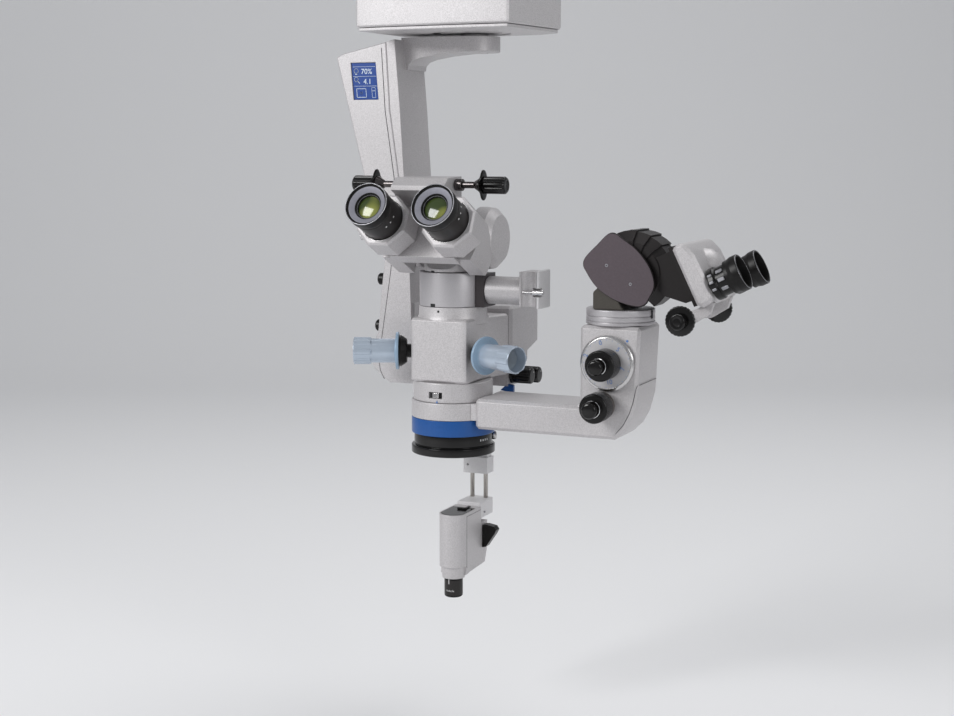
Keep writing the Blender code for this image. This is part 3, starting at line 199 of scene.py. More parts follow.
# The nodes that keep their own shape, and what each is finished with.
SKIN_FINISH = {
    "coupling_housing": COUPLING_PAINT, "cross_slide": GREY, "cross_plate": COUPLING_PAINT,
    "support_arm": PAINT, "column_cover": PAINT, "screen": DISPLAY, "focus_housing": PAINT,
    "focus_clamp": BLACK, "tilt_clamp": BLACK, "main_body": PAINT, "rear_housing": PAINT,
    "filter_block": PAINT, "catch_slider": BRIGHT, "objective_lens": CO_LENS, "port_dovetail": VIOLET,
    "port_tube": PAINT, "port_plate": WHITE, "port_screw": BRIGHT, "grip_left": BLACK,
    "grip_right": BLACK, "binocular_base": PAINT, "tilt_housing": PAINT, "tube_left": PAINT,
    "tube_right": PAINT, "co_arm": PAINT, "fold_segment_1": SHELL, "fold_segment_2": SHELL,
    "fold_segment_3": SHELL, "fold_head": SHELL, "co_housing": PAINT, "viewer_bracket": BRIGHT,
    "viewer_block": WHITE, "viewer_carrier": WHITE, "viewer_body": PAINT, "viewer_knob": BLACK,
    "viewer_lens": BLACK}


# Geometry helpers. Lengths are in metres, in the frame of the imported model.


def new_object(name, mesh, mat, owner, smooth=35, whole=False):
    """Dress a mesh; it rides with the node that owns it, and where whole replaces it."""
    obj = bpy.data.objects.new(name, mesh)
    bpy.context.scene.collection.objects.link(obj)
    mesh.materials.clear()
    mesh.materials.append(mat)
    if smooth:
        mesh.shade_smooth()
        mesh.set_sharp_from_angle(angle=math.radians(smooth))
    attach(obj, BODY_OF[owner])
    if whole:
        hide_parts(owner)
    return obj


def finish_mesh(name, bm):
    bmesh.ops.recalc_face_normals(bm, faces=bm.faces)
    mesh = bpy.data.meshes.new(name)
    bm.to_mesh(mesh)
    bm.free()
    return mesh


SKIN_ANGLE = 30


def flat_regions(bm):
    """The faces gathered into flat regions: the region of each face, with its area and normal."""
    region, areas, normals = {}, [], []
    for first in bm.faces:
        if first in region:
            continue
        number, stack, area = len(areas), [first], 0.0
        region[first] = number
        while stack:
            face = stack.pop()
            area += face.calc_area()
            for edge in face.edges:
                for other in edge.link_faces:
                    if other not in region and other.normal.dot(first.normal) > 0.99999:
                        region[other] = number
                        stack.append(other)
        areas.append(area)
        normals.append(first.normal.copy())
    return region, areas, normals


def skin(name):
    """A copy of a node whose round faces shade as one surface and whose large faces stay flat."""
    mesh = NODES[name].data.copy()
    bm = bmesh.new()
    bm.from_mesh(mesh)
    bmesh.ops.remove_doubles(bm, verts=bm.verts, dist=0.00001)
    bmesh.ops.dissolve_degenerate(bm, edges=bm.edges, dist=0.000005)
    bmesh.ops.recalc_face_normals(bm, faces=bm.faces)
    bm.normal_update()
    region, areas, normals = flat_regions(bm)
    limit = math.cos(math.radians(SKIN_ANGLE))
    custom = []
    for face in bm.faces:
        own = normals[region[face]]
        for loop in face.loops:
            near = {region[f] for f in loop.vert.link_faces}
            total = Vector()
            for r in near:
                if own.dot(normals[r]) > limit:
                    total += normals[r] * areas[r]
            custom.append(total.normalized() if total.length > 0 else own)
    bm.to_mesh(mesh)
    bm.free()
    new_object(name + "_skin", mesh, SKIN_FINISH[name], name, 0, True)
    mesh.shade_smooth()
    mesh.normals_split_custom_set([tuple(n) for n in custom])


def towards(direction):
    """A turn that takes the Z axis to the direction."""
    return Vector(direction).normalized().to_track_quat("Z", "Y").to_matrix().to_4x4()


def rounded(profile, r, closed):
    """The profile with each corner replaced by a short curve."""
    n = len(profile)
    out = []
    for i, p in enumerate(profile):
        if not closed and i in (0, n - 1):
            out.append(p)
            continue
        a, b, c = Vector(profile[i - 1]), Vector(p), Vector(profile[(i + 1) % n])
        cut = min(r, (a - b).length * 0.45, (c - b).length * 0.45)
        s, e = b + (a - b).normalized() * cut, b + (c - b).normalized() * cut
        for t in (0, 0.33, 0.67, 1):
            q = s * (1 - t) ** 2 + b * 2 * t * (1 - t) + e * t * t
            out.append((q.x, q.y))
    return out


def flutes(count, depth, lowest, highest, duty, least):
    """Grooves along a turned piece between two heights, duty of each pitch wide."""
    def shape(angle, h, rad):
        if not lowest <= h <= highest or rad < least:
            return rad
        phase = (angle * count / (2 * math.pi)) % 1.0
        return rad - depth * math.sin(math.pi * phase / duty) if phase < duty else rad
    return shape


def ribs(count, height, lowest, highest, duty, least, turn):
    """Raised bars along a turned piece between two heights."""
    def shape(angle, h, rad):
        if not lowest <= h <= highest or rad < least:
            return rad
        phase = ((angle + turn) * count / (2 * math.pi)) % 1.0
        return rad + height * min(1.0, 6 * phase / duty, 6 * (duty - phase) / duty) if phase < duty else rad
    return shape


def lobes(count, depth, lowest, highest, least):
    """A wavy outline round a turned piece between two heights."""
    def shape(angle, h, rad):
        inside = lowest <= h <= highest and rad > least
        return rad - depth * (0.5 - 0.5 * math.cos(count * angle)) if inside else rad
    return shape


def lathe(name, profile, at, direction, mat, owner, steps=96, r=0.0004, closed=False, shape=None, angle=40,
          spin=0.0, whole=False):
    """A turned piece from radius and height pairs, with a count or a list of angles as steps.

    Shape may change the radius by angle and height.
    """
    pts = rounded(profile, r, closed) if r else list(profile)
    angles = [2 * math.pi * i / steps for i in range(steps)] if isinstance(steps, int) else steps
    steps = len(angles)
    bm = bmesh.new()
    rows = []
    for rad, h in pts:
        if rad < 1e-7:
            rows.append([bm.verts.new((0, 0, h))])
            continue
        row = []
        for a in angles:
            rr = shape(a, h, rad) if shape else rad
            row.append(bm.verts.new((rr * math.cos(a + spin), rr * math.sin(a + spin), h)))
        rows.append(row)
    for a, b in list(zip(rows, rows[1:])) + ([(rows[-1], rows[0])] if closed else []):
        for i in range(steps):
            j = (i + 1) % steps
            if len(a) == 1 and len(b) == 1:
                break
            if len(a) == 1:
                bm.faces.new((a[0], b[i], b[j]))
            elif len(b) == 1:
                bm.faces.new((a[i], b[0], a[j]))
            else:
                bm.faces.new((a[i], b[i], b[j], a[j]))
    if not closed:
        for row in (rows[0], rows[-1]):
            if len(row) > 1:
                bm.faces.new(row)
    mesh = finish_mesh(name, bm)
    mesh.transform(Matrix.Translation(at) @ towards(direction))
    return new_object(name, mesh, mat, owner, angle, whole)


def slab(name, outline, low, high, place, mat, owner, bevel=0.0004, steps=2, angle=30, whole=False):
    """An outline in the XY plane of place, thickened from low to high, with rounded edges."""
    bm = bmesh.new()
    base = [bm.verts.new((x, y, low)) for x, y in outline]
    top = [bm.verts.new((x, y, high)) for x, y in outline]
    n = len(outline)
    bm.faces.new(list(reversed(base)))
    bm.faces.new(top)
    for i in range(n):
        bm.faces.new((base[i], base[(i + 1) % n], top[(i + 1) % n], top[i]))
    if bevel:
        bmesh.ops.bevel(bm, geom=list(bm.edges), offset=bevel, segments=steps, affect="EDGES",
                        clamp_overlap=True)
    mesh = finish_mesh(name, bm)
    mesh.transform(place)
    return new_object(name, mesh, mat, owner, angle, whole)


def block(name, low, high, mat, owner, bevel=0.0004):
    """A box between two corners, with rounded edges."""
    outline = [(low[0], low[1]), (high[0], low[1]), (high[0], high[1]), (low[0], high[1])]
    return slab(name, outline, low[2], high[2], Matrix(), mat, owner, bevel)


def plane_at(origin, right, up):
    """A frame whose X and Y run along right and up, and whose Z is their normal."""
    x = Vector(right).normalized()
    z = x.cross(Vector(up)).normalized()
    y = z.cross(x)
    return Matrix.Translation(origin) @ Matrix((x, y, z)).transposed().to_4x4()


def ribbon(name, lines, width, place, mat, owner):
    """Flat strokes along polylines in the XY plane of place, a little proud of it."""
    height = 0.00012
    bm = bmesh.new()
    for line in lines:
        for (ax, ay), (bx, by) in zip(line, line[1:]):
            a, b = Vector((ax, ay)), Vector((bx, by))
            if (b - a).length < 1e-9:
                continue
            along = (b - a).normalized() * width * 0.35
            side = Vector((-along.y, along.x)).normalized() * width / 2
            corners = [a - along - side, b + along - side, b + along + side, a - along + side]
            low = [bm.verts.new((c.x, c.y, -height)) for c in corners]
            top = [bm.verts.new((c.x, c.y, height)) for c in corners]
            bm.faces.new(list(reversed(low)))
            bm.faces.new(top)
            for i in range(4):
                bm.faces.new((low[i], low[(i + 1) % 4], top[(i + 1) % 4], top[i]))
    mesh = finish_mesh(name, bm)
    mesh.transform(place)
    return new_object(name, mesh, mat, owner, 0)


def letters(name, text, size, place, mat, owner):
    """Thin raised figures in the XY plane of place."""
    data = bpy.data.curves.new(name, "FONT")
    data.body = text
    data.size = size
    data.align_x = data.align_y = "CENTER"
    data.extrude = 0.00008
    data.resolution_u = 3
    made = bpy.data.objects.new(name, data)
    bpy.context.scene.collection.objects.link(made)
    graph = bpy.context.evaluated_depsgraph_get()
    mesh = bpy.data.meshes.new_from_object(made.evaluated_get(graph))
    bpy.data.objects.remove(made)
    mesh.name = name
    mesh.transform(place)
    return new_object(name, mesh, mat, owner, 0)


def circle(x, y, r, n=20):
    """A closed polyline round a point."""
    turns = [math.radians(360.0 * i / n) for i in range(n + 1)]
    return [(x + r * math.cos(a), y + r * math.sin(a)) for a in turns]


def spot(name, at, normal, r, mat, owner):
    """A small round mark, barely proud of its surface."""
    top, foot = 0.00018, -0.0003
    return lathe(name, [(0, top), (r * 0.7, top), (r, 0), (r, foot), (0, foot)], at, normal, mat, owner, 20,
                 0.0001)


def patch(name, r, a0, a1, z0, z1, mat, owner, proud=0.0001, steps=8):
    """A thin curved plate on a vertical cylinder round the main axis."""
    bm = bmesh.new()
    rows = []
    for i in range(steps + 1):
        a = math.radians(a0 + (a1 - a0) * i / steps)
        rows.append([bm.verts.new((rad * math.cos(a), rad * math.sin(a), z))
                     for rad, z in ((r - 0.0006, z0), (r + proud, z0), (r + proud, z1), (r - 0.0006, z1))])
    for a, b in zip(rows, rows[1:]):
        for k in range(4):
            bm.faces.new((a[k], b[k], b[(k + 1) % 4], a[(k + 1) % 4]))
    bm.faces.new(rows[0])
    bm.faces.new(rows[-1])
    return new_object(name, finish_mesh(name, bm), mat, owner)


def screw(name, at, normal, r, owner, mat=BRIGHT):
    """A small socket screw: a domed head with a hexagonal recess, whose floor is painted dark as shade."""
    hexagon = lobes(6, r * 0.06, -1, 1, 0)
    lathe(name,
          [(r * 0.44, -0.0006), (r * 0.46, r * 0.28), (r * 0.8, r * 0.26), (r, 0.0), (r, -0.0008),
           (r * 0.44, -0.0008)], at, normal, mat, owner, 36, 0.0001, True,
          lambda a, h, rad: hexagon(a, h, rad) if rad < r * 0.5 else rad)
    # The floor of the recess: a dark disc painted as the shade inside the socket.
    lathe(name + "_socket", [(0, -0.0002), (r * 0.5, -0.0002), (r * 0.5, -0.0007), (0, -0.0007)], at, normal,
          DARK, owner, 18, 0)


# Binocular tube.

TILT = math.radians(26)
LOOK = Vector((0, -math.cos(TILT), math.sin(TILT)))
HALF_SPAN, RIM_Y, RIM_Z = 0.0347, -0.119, -0.2714
BARREL_R = 0.0208


def coated_glass(name, at, direction, radius, sag, owner, mat):
    """A lens with its front surface domed by sag."""
    dome = [(0, 0)] + [(radius * math.sin(t), -sag * (1 - math.cos(t)) / (1 - math.cos(1.2)))
                       for t in [1.2 * i / 8 for i in range(1, 9)]]
    scale = radius / dome[-1][0]
    pts = [(r * scale, h) for r, h in dome]
    pts += [(radius, pts[-1][1] - 0.0008), (0, pts[-1][1] - 0.0008)]
    return lathe(name, pts, at, direction, mat, owner, 72, 0)


def eyepieces():
    """Eyecups, barrels, lenses and mouth rings of both eyepieces, with their dots."""
    for side, s in (("left", -1), ("right", 1)):
        rim = Vector((s * HALF_SPAN, RIM_Y, RIM_Z))
        cup, tube = "eyecup_" + side, "eyepiece_" + side
        lathe(cup + "_shell",
              [(0.0203, -0.0014), (0.0206, 0), (0.0213, 0), (0.0217, -0.0006), (0.0217, -0.0090),
               (0.0214, -0.0092), (0.0124, -0.0092), (0.0124, -0.0056), (0.0134, -0.0051),
               (0.0136, -0.0050), (0.0196, -0.0018)], rim, LOOK, RUBBER, cup, 128, 0.0003, True, whole=True)
        # The rim's lighter ring is a painted highlight on the black cup.
        lathe(cup + "_edge",
              [(0.02165, -0.0004), (0.02125, 0), (0.02075, 0), (0.0206, -0.0003), (0.0212, -0.0008)], rim,
              LOOK, EDGE, cup, 128, 0.0001, True)
        lathe(cup + "_funnel",
              [(0.0187, -0.00205), (0.0189, -0.00250), (0.0137, -0.00520), (0.0136, -0.00475)], rim, LOOK,
              FACE, cup, 128, 0.00015, True)
        lathe(tube + "_barrel",
              [(0.0208, -0.0096), (0.0208, -0.0116), (0.0203, -0.0120), (0.0203, -0.0134),
               (0.0208, -0.0138), (0.0208, -0.0376), (0.0200, -0.0384), (0.0200, -0.0436),
               (0.0158, -0.0436), (0.0158, -0.0620), (0.0128, -0.0620), (0.0128, -0.0096)], rim, LOOK,
              BARREL, tube, 128, 0.0003, True, whole=True)
        lathe(tube + "_bezel",
              [(0.0122, -0.0066), (0.0119, -0.0066), (0.0116, -0.0074), (0.0112, -0.0080),
               (0.0112, -0.0110), (0.0122, -0.0110)], rim, LOOK, BLACK, tube, 96, 0.0001, True)
        lathe(tube + "_bezel_ring",
              [(0.0121, -0.00655), (0.0119, -0.0064), (0.01175, -0.0067), (0.0120, -0.0070)], rim, LOOK,
              GREY, tube, 96, 0, True)
        coated_glass(tube + "_glass", rim + LOOK * -0.0068, LOOK, 0.0115, 0.0020, tube, LENS)
        mouth = rim - LOOK * 0.0372
        carrier = "tube_" + side
        lathe(carrier + "_mouth_ring",
              [(0.0212, 0.0000), (0.0217, 0.0004), (0.0222, 0.0000), (0.0222, -0.0032), (0.0212, -0.0032)],
              mouth, LOOK, BRIGHT, carrier, 96, 0.0001, True)
    dots = ((1, (0.05421, -0.09774, -0.27344)), (1, (0.0556, -0.10176, -0.2794)),
            (1, (0.05489, -0.10429, -0.28459)), (-1, (-0.01412, -0.10172, -0.28387)),
            (-1, (-0.01608, -0.10428, -0.28913)), (-1, (-0.01941, -0.10637, -0.29342)))
    for i, (s, at) in enumerate(dots):
        side = "right" if s > 0 else "left"
        centre = Vector((s * HALF_SPAN, RIM_Y, RIM_Z))
        axis_point = centre + LOOK * (Vector(at) - centre).dot(LOOK)
        out = (Vector(at) - axis_point).normalized()
        tube = "eyepiece_" + side
        spot(tube + "_dot_%d" % i, axis_point + out * BARREL_R, out, 0.0009, DOT, tube)


def distance_knobs():
    """The shaft that sets the pupil distance, with a disc and a knob at each end."""
    at = Vector((0, -0.0535, -0.2546))
    lathe("pd_shaft_rod", [(0, -0.0500), (0.0032, -0.0500), (0.0032, 0.0500), (0, 0.0500)], at, (1, 0, 0),
          TINTED, "pd_shaft", 40, 0, whole=True)
    for side, s in (("left", -1), ("right", 1)):
        d = Vector((s, 0, 0))
        lathe("pd_knob_" + side,
              [(0.0046, 0.0584), (0.0080, 0.0586), (0.0083, 0.0594), (0.0083, 0.0796), (0.0070, 0.0810),
               (0.0050, 0.0812), (0.0046, 0.0806), (0, 0.0806), (0, 0.0584)], at, d, GLOSS, "pd_shaft", 140,
              0.0003, False, flutes(10, 0.0009, 0.0588, 0.0800, 0.34, 0.0075), 40, 0.2)
        lathe("pd_disc_" + side,
              [(0.0030, 0.0560), (0.0118, 0.0560), (0.0125, 0.0565), (0.0125, 0.0576), (0.0118, 0.0582),
               (0.0030, 0.0582)], at, d, GLOSS, "pd_shaft", 120, 0.0003, True,
              lambda a, h, rad: rad + 0.0020 * math.cos(4 * a) if rad > 0.008 else rad)
        lathe("pd_cone_" + side,
              [(0.0032, 0.0478), (0.0046, 0.0500), (0.0078, 0.0552), (0.0079, 0.0559), (0.0030, 0.0559)],
              at, d, TINTED, "pd_shaft", 64, 0.0003, True)
        lathe("pd_collar_" + side,
              [(0.0032, 0.0283), (0.0052, 0.0283), (0.0058, 0.0290), (0.0058, 0.0354), (0.0052, 0.0360),
               (0.0032, 0.0360)], at, d, TINTED, "pd_shaft", 64, 0.0003, True)


# Sterile caps on the handles.


def handles():
    yaw = math.radians(23.5)
    for side, s in (("left", -1), ("right", 1)):
        at = Vector((s * 0.0323, -0.021, -0.4216))
        d = Vector((s * math.cos(yaw), -math.sin(yaw), 0))
        cap = "cap_" + side
        t, k = 0.0161, 0.0455
        lathe(cap + "_shell",
              [(0.0094, t + 0.0020), (0.0122, t + 0.0022), (0.0122, t + 0.0272), (0.0123, t + 0.0276),
               (0.0124, t + 0.0284), (0.0126, t + 0.0300), (0.0127, t + 0.0448), (0.0126, t + k),
               (0.0120, t + k), (0.0117, t + 0.0440), (0.0112, 0.0498), (0, 0.0498), (0, 0.0483),
               (0.0094, 0.0483)], at, d, CAP, cap, 192, 0.0003, True,
              ribs(8, 0.0009, t + 0.0278, t + 0.0452, 0.62, 0.01235, 0.2), whole=True)
        lathe(cap + "_flange",
              [(0.0094, t), (0.0186, t), (0.0190, t + 0.0005), (0.0190, t + 0.0024), (0.0186, t + 0.0030),
               (0.0133, t + 0.0031), (0.0123, t + 0.0040), (0.0121, t + 0.0040), (0.0121, t + 0.0020),
               (0.0094, t + 0.0020)], at, d, CAP_EDGE, cap, 144, 0.0003, True)
        lathe(cap + "_lining", [(0, 0.0503), (0.0108, 0.0503), (0.0108, 0.0498), (0, 0.0498)], at, d,
              CAP_DARK, cap, 48, 0)


# Co-observer side: the pivot of the folding tube, and the block's front and right faces.
FOLD_X, FOLD_Z = 0.196, -0.3367
BLOCK_FRONT_Y, BLOCK_RIGHT_X, BLOCK_X = -0.03025, 0.20625, 0.1775


def fold_point(u, v, y):
    """A point u along and v across the tilted binocular housing, from the pivot."""
    return Vector((FOLD_X + u * math.cos(TILT) - v * math.sin(TILT), y,
                   FOLD_Z + u * math.sin(TILT) + v * math.cos(TILT)))


def dial():
    at = Vector((0.176, BLOCK_FRONT_Y, -0.4214))
    lathe("co_dial_rim",
          [(0.0236, 0.0003), (0.0268, 0.0003), (0.0268, 0.0038), (0.0247, 0.0052), (0.0236, 0.0052)], at,
          (0, -1, 0), BRIGHT, "co_dial", 144, 0.0003, True,
          flutes(72, 0.00022, 0.0002, 0.0042, 0.5, 0.0262), whole=True)
    lathe("co_dial_face", [(0.0040, 0.0003), (0.0239, 0.0003), (0.0239, 0.0051), (0.0040, 0.0051)], at,
          (0, -1, 0), DIAL, "co_dial", 96, 0, True)
    for text, x, z in (("0", 0.1698, -0.4020), ("5", 0.1874, -0.4074), ("7", 0.1922, -0.4255),
                       ("10", 0.1792, -0.4389), ("15", 0.1607, -0.4342), ("2", 0.1553, -0.4144)):
        out = Vector((x - at.x, 0, z - at.z))
        if out.z < 0:
            out = -out
        place = plane_at((x, at.y - 0.00515, z), (out.z, 0, -out.x), out)
        letters("co_dial_mark_" + text, text, 0.0062, place, INK, "co_dial")
    ticks = []
    for i in range(24):
        a = 2 * math.pi * i / 24
        ticks.append([(0.0232 * math.cos(a), 0.0232 * math.sin(a)),
                      (0.0222 * math.cos(a), 0.0222 * math.sin(a))])
    ribbon("co_dial_ticks", ticks, 0.0003, plane_at((at.x, at.y - 0.0051, at.z), (1, 0, 0), (0, 0, 1)), INK,
           "co_dial")
    lathe("co_dial_knob_grip",
          [(0, 0.0258), (0.0136, 0.0258), (0.0148, 0.0246), (0.0148, 0.0062), (0.0140, 0.0056),
           (0.0039, 0.0056), (0.0039, 0.0003), (0, 0.0003)], at, (0, -1, 0), KNOB, "co_dial_knob", 240,
          0.0004, False, flutes(48, 0.00042, 0.0068, 0.0252, 0.45, 0.0140), whole=True)
    lathe("co_dial_knob_nose",
          [(0, 0.0400), (0.0052, 0.0398), (0.0066, 0.0390), (0.0074, 0.0376), (0.0076, 0.0258),
           (0, 0.0258)], at, (0, -1, 0), GLOSS, "co_dial_knob", 72, 0.0006)
    lathe("co_dial_knob_edge", [(0.0075, 0.0278), (0.0079, 0.0284), (0.0075, 0.0290)], at, (0, -1, 0),
          CHROME, "co_dial_knob", 72, 0, True)
    spot("co_dial_knob_dot", (0.1709, -0.0362, -0.4340), (0, -1, 0), 0.0011, DOT, "co_dial_knob")
    spot("co_dial_index", (0.1948, -0.03035, -0.3996), (0, -1, 0), 0.0012, INK, "co_arm")
    at = Vector((0.172, BLOCK_FRONT_Y, -0.4613))
    lathe("co_focus_grip",
          [(0, 0.0308), (0.0130, 0.0308), (0.0142, 0.0296), (0.0142, 0.0136), (0.0136, 0.0124),
           (0, 0.0124)], at, (0, -1, 0), KNOB, "co_focus_knob", 220, 0.0004, False,
          flutes(44, 0.00042, 0.0142, 0.0300, 0.45, 0.0134), whole=True)
    lathe("co_focus_neck",
          [(0, 0.0124), (0.0134, 0.0122), (0.0134, 0.0064), (0.0105, 0.0058), (0.0105, 0.0003),
           (0, 0.0003)], at, (0, -1, 0), BROWN, "co_focus_knob", 96, 0.0004)
    lathe("co_focus_nose",
          [(0, 0.0440), (0.0054, 0.0438), (0.0070, 0.0430), (0.0078, 0.0414), (0.0080, 0.0308),
           (0, 0.0308)], at, (0, -1, 0), GLOSS, "co_focus_knob", 72, 0.0006)
    lathe("co_focus_edge", [(0.0079, 0.0328), (0.0083, 0.0334), (0.0079, 0.0340)], at, (0, -1, 0), CHROME,
          "co_focus_knob", 72, 0, True)


def block_seams():
    """Joint lines of the block's cover."""
    front = [(0.2055, -0.4412), (0.2040, -0.4447), (0.2012, -0.4581), (0.1975, -0.4690), (0.1917, -0.4802),
             (0.1842, -0.4890)]
    ribbon("co_block_seam", [front], 0.0005, plane_at((0, BLOCK_FRONT_Y, 0), (1, 0, 0), (0, 0, 1)), SEAM,
           "co_arm")
    side = [(0.0240, -0.4414), (-0.0262, -0.4414)]
    ribbon("co_block_side_seam", [side], 0.0005, plane_at((BLOCK_RIGHT_X, 0, 0), (0, 1, 0), (0, 0, 1)),
           SEAM, "co_arm")


def curve_loop(points, steps=8):
    """A closed smooth curve through the points."""
    n = len(points)
    out = []
    for i in range(n):
        p0, p1, p2, p3 = (Vector(points[(i + k - 1) % n]) for k in range(4))
        for j in range(steps):
            t = j / steps
            q = 0.5 * ((2 * p1) + (p2 - p0) * t + (2 * p0 - 5 * p1 + 4 * p2 - p3) * t * t
                       + (3 * p1 - p0 - 3 * p2 + p3) * t ** 3)
            out.append((q.x, q.y))
    return out


def folding_tube():
    x, z, block_x = FOLD_X, FOLD_Z, BLOCK_X
    outline = [(x - 0.0460, z + 0.0114), (x - 0.0320, z + 0.0273), (x - 0.0184, z + 0.0387),
               (x - 0.0050, z + 0.0318), (x + 0.0080, z + 0.0222), (x + 0.0198, z + 0.0071),
               (x + 0.0246, z - 0.0083), (x + 0.0208, z - 0.0199), (x + 0.0122, z - 0.0299),
               (x - 0.0102, z - 0.0262), (x - 0.0298, z - 0.0155), (x - 0.0418, z - 0.0010)]
    centre = Vector((x - 0.010, z + 0.003))
    upright = plane_at((0, 0, 0), (1, 0, 0), (0, 0, 1))
    neck = [(block_x - 0.018, -0.3710), (block_x + 0.012, -0.3710), (block_x + 0.006, z - 0.0240),
            (x - 0.0301, z - 0.0120), (block_x - 0.018, z - 0.0180)]
    slab("fold_neck", neck, -0.0288, 0.0288, upright, NECK, "fold_base", 0.0006, whole=True)
    back = [(x - 0.0452, z + 0.0114), (x - 0.0310, z + 0.0276), (x - 0.0180, z + 0.0150),
            (x - 0.0170, z - 0.0170), (x - 0.0120, z - 0.0240), (x - 0.0140, z - 0.0270),
            (x - 0.0298, z - 0.0152), (x - 0.0412, z - 0.0010)]
    slab("fold_back", back, -0.0283, 0.0283, upright, SHELL, "fold_base", 0.0008)
    lathe("fold_pin", [(0, -0.0288), (0.0045, -0.0288), (0.0045, 0.0288), (0, 0.0288)], (x, 0, z),
          (0, 1, 0), BLACK, "fold_base", 40, 0)
    for name, s in (("front", -1), ("rear", 1)):
        place = plane_at((0, s * 0.0300, 0), (1, 0, 0) if s < 0 else (-1, 0, 0), (0, 0, 1))
        for part, size, low, high, mat in (("cheek", 1.0, -0.0022, 0.0, SHELL),
                                           ("plate", 0.982, 0.0, 0.0009, PLATE)):
            loop = [centre + (Vector(q) - centre) * size for q in curve_loop(outline)]
            slab("fold_%s_%s" % (part, name), [(q.x if s < 0 else -q.x, q.y) for q in loop], low, high,
                 place, mat, "fold_base", 0.0004, 2, 50)
        for i, (sx, sz) in enumerate(((0.1736, -0.3289), (0.1973, -0.3457))):
            screw("fold_plate_screw_%s_%d" % (name, i), (sx, s * 0.0310, sz), (0, s, 0), 0.0016,
                  "fold_base", GREY)


def co_eyepieces():
    d = Vector((math.cos(TILT), 0, math.sin(TILT)))
    for side, s in (("left", -1), ("right", 1)):
        tube, cup = "co_tube_" + side, "co_eyecup_" + side
        at = fold_point(0.0703, -0.042, s * 0.033)
        lathe(tube + "_body",
              [(0, 0.0118), (0.0095, 0.0118), (0.0100, 0.0190), (0.0132, 0.0190), (0.0139, 0.0182),
               (0.0139, 0.0078), (0.0146, 0.0072), (0.0154, 0.0066), (0.0155, 0.0058), (0.0155, 0.0014),
               (0.0150, 0.0004), (0.0062, 0.0004), (0.0062, -0.0100), (0, -0.0100)], at, d, KNOB, tube, 144,
              0.0003, whole=True)
        coated_glass(tube + "_glass", at + d * 0.0150, d, 0.0096, 0.0014, tube, CO_LENS)
        over = Vector((-math.sin(TILT), 0, math.cos(TILT)))
        for row, (h, r, wide, tall, turns) in enumerate(((0.0036, 0.0155, 0.0024, 0.0040, (-18, 8, 34)),
                                                         (0.0128, 0.0139, 0.0034, 0.0066, (-30, 6, 42)))):
            for turn in turns:
                a = math.radians(turn)
                out = Vector((0, -1, 0)) * math.cos(a) + over * math.sin(a)
                place = plane_at(at + d * h + out * r, d.cross(out), d)
                slab(tube + "_rib_%d_%d" % (row, turn + 90),
                     [(-wide / 2, -tall / 2), (wide / 2, -tall / 2), (wide / 2, tall / 2),
                      (-wide / 2, tall / 2)], -0.0010, 0.0005, place, GREY, tube, 0.0003)
        lathe(cup + "_shell",
              [(0.0150, 0.0313), (0.0168, 0.03114), (0.0172, 0.0306), (0.0172, 0.0244), (0.0168, 0.0232),
               (0.0160, 0.0204), (0.0160, 0.0174), (0.01418, 0.0172), (0.01418, 0.0195), (0.0121, 0.0200),
               (0.0121, 0.0222), (0.0146, 0.0240)], at, d, RUBBER, cup, 128, 0.0003, True, whole=True)
        # The rim's lighter ring is a painted highlight on the black cup.
        lathe(cup + "_edge", [(0.0171, 0.0306), (0.0167, 0.03124), (0.0162, 0.03124), (0.0166, 0.0306)], at,
              d, EDGE, cup, 128, 0.0001, True)
        lathe(cup + "_inner",
              [(0.0145, 0.0240), (0.0142, 0.0238), (0.0124, 0.0224), (0.0124, 0.0219), (0.0148, 0.0237)],
              at, d, FACE_DARK, cup, 96, 0.0001, True)


def co_distance_knobs():
    at = fold_point(0.0373, -0.0604, 0)
    lathe("co_pd_rod", [(0, -0.0610), (0.0035, -0.0610), (0.0035, 0.0610), (0, 0.0610)], at, (0, 1, 0),
          CHROME, "co_pd_shaft", 40, 0, whole=True)
    for side, s in (("front", -1), ("rear", 1)):
        d = Vector((0, s, 0))
        lathe("co_pd_disc_" + side,
              [(0.0035, 0.0592), (0.0058, 0.0592), (0.0128, 0.0608), (0.0139, 0.0616), (0.0139, 0.0644),
               (0.0132, 0.0652), (0.0035, 0.0656)], at, d, GLOSS, "co_pd_shaft", 144, 0.0003, True,
              flutes(24, 0.0005, 0.0610, 0.0650, 0.4, 0.0125))
        lathe("co_pd_grip_" + side,
              [(0.0035, 0.0656), (0.0074, 0.0658), (0.0074, 0.0728), (0.0068, 0.0738), (0.0062, 0.0740),
               (0.0035, 0.0739)], at, d, GLOSS, "co_pd_shaft", 72, 0.0003, True)
        lathe("co_pd_dome_" + side,
              [(0, 0.0739), (0.0040, 0.0738), (0.0058, 0.0732), (0.0060, 0.0725), (0, 0.0725)], at, d,
              GLOSS, "co_pd_shaft", 48, 0.0003)
        lathe("co_pd_sleeve_" + side,
              [(0.0035, 0.0500), (0.0052, 0.0500), (0.0054, 0.0504), (0.0054, 0.0576), (0.0052, 0.0580),
               (0.0035, 0.0580)], at, d, CHROME, "co_pd_shaft", 56, 0.0002, True)


# Turned pieces round the main axis, and what sits on them.


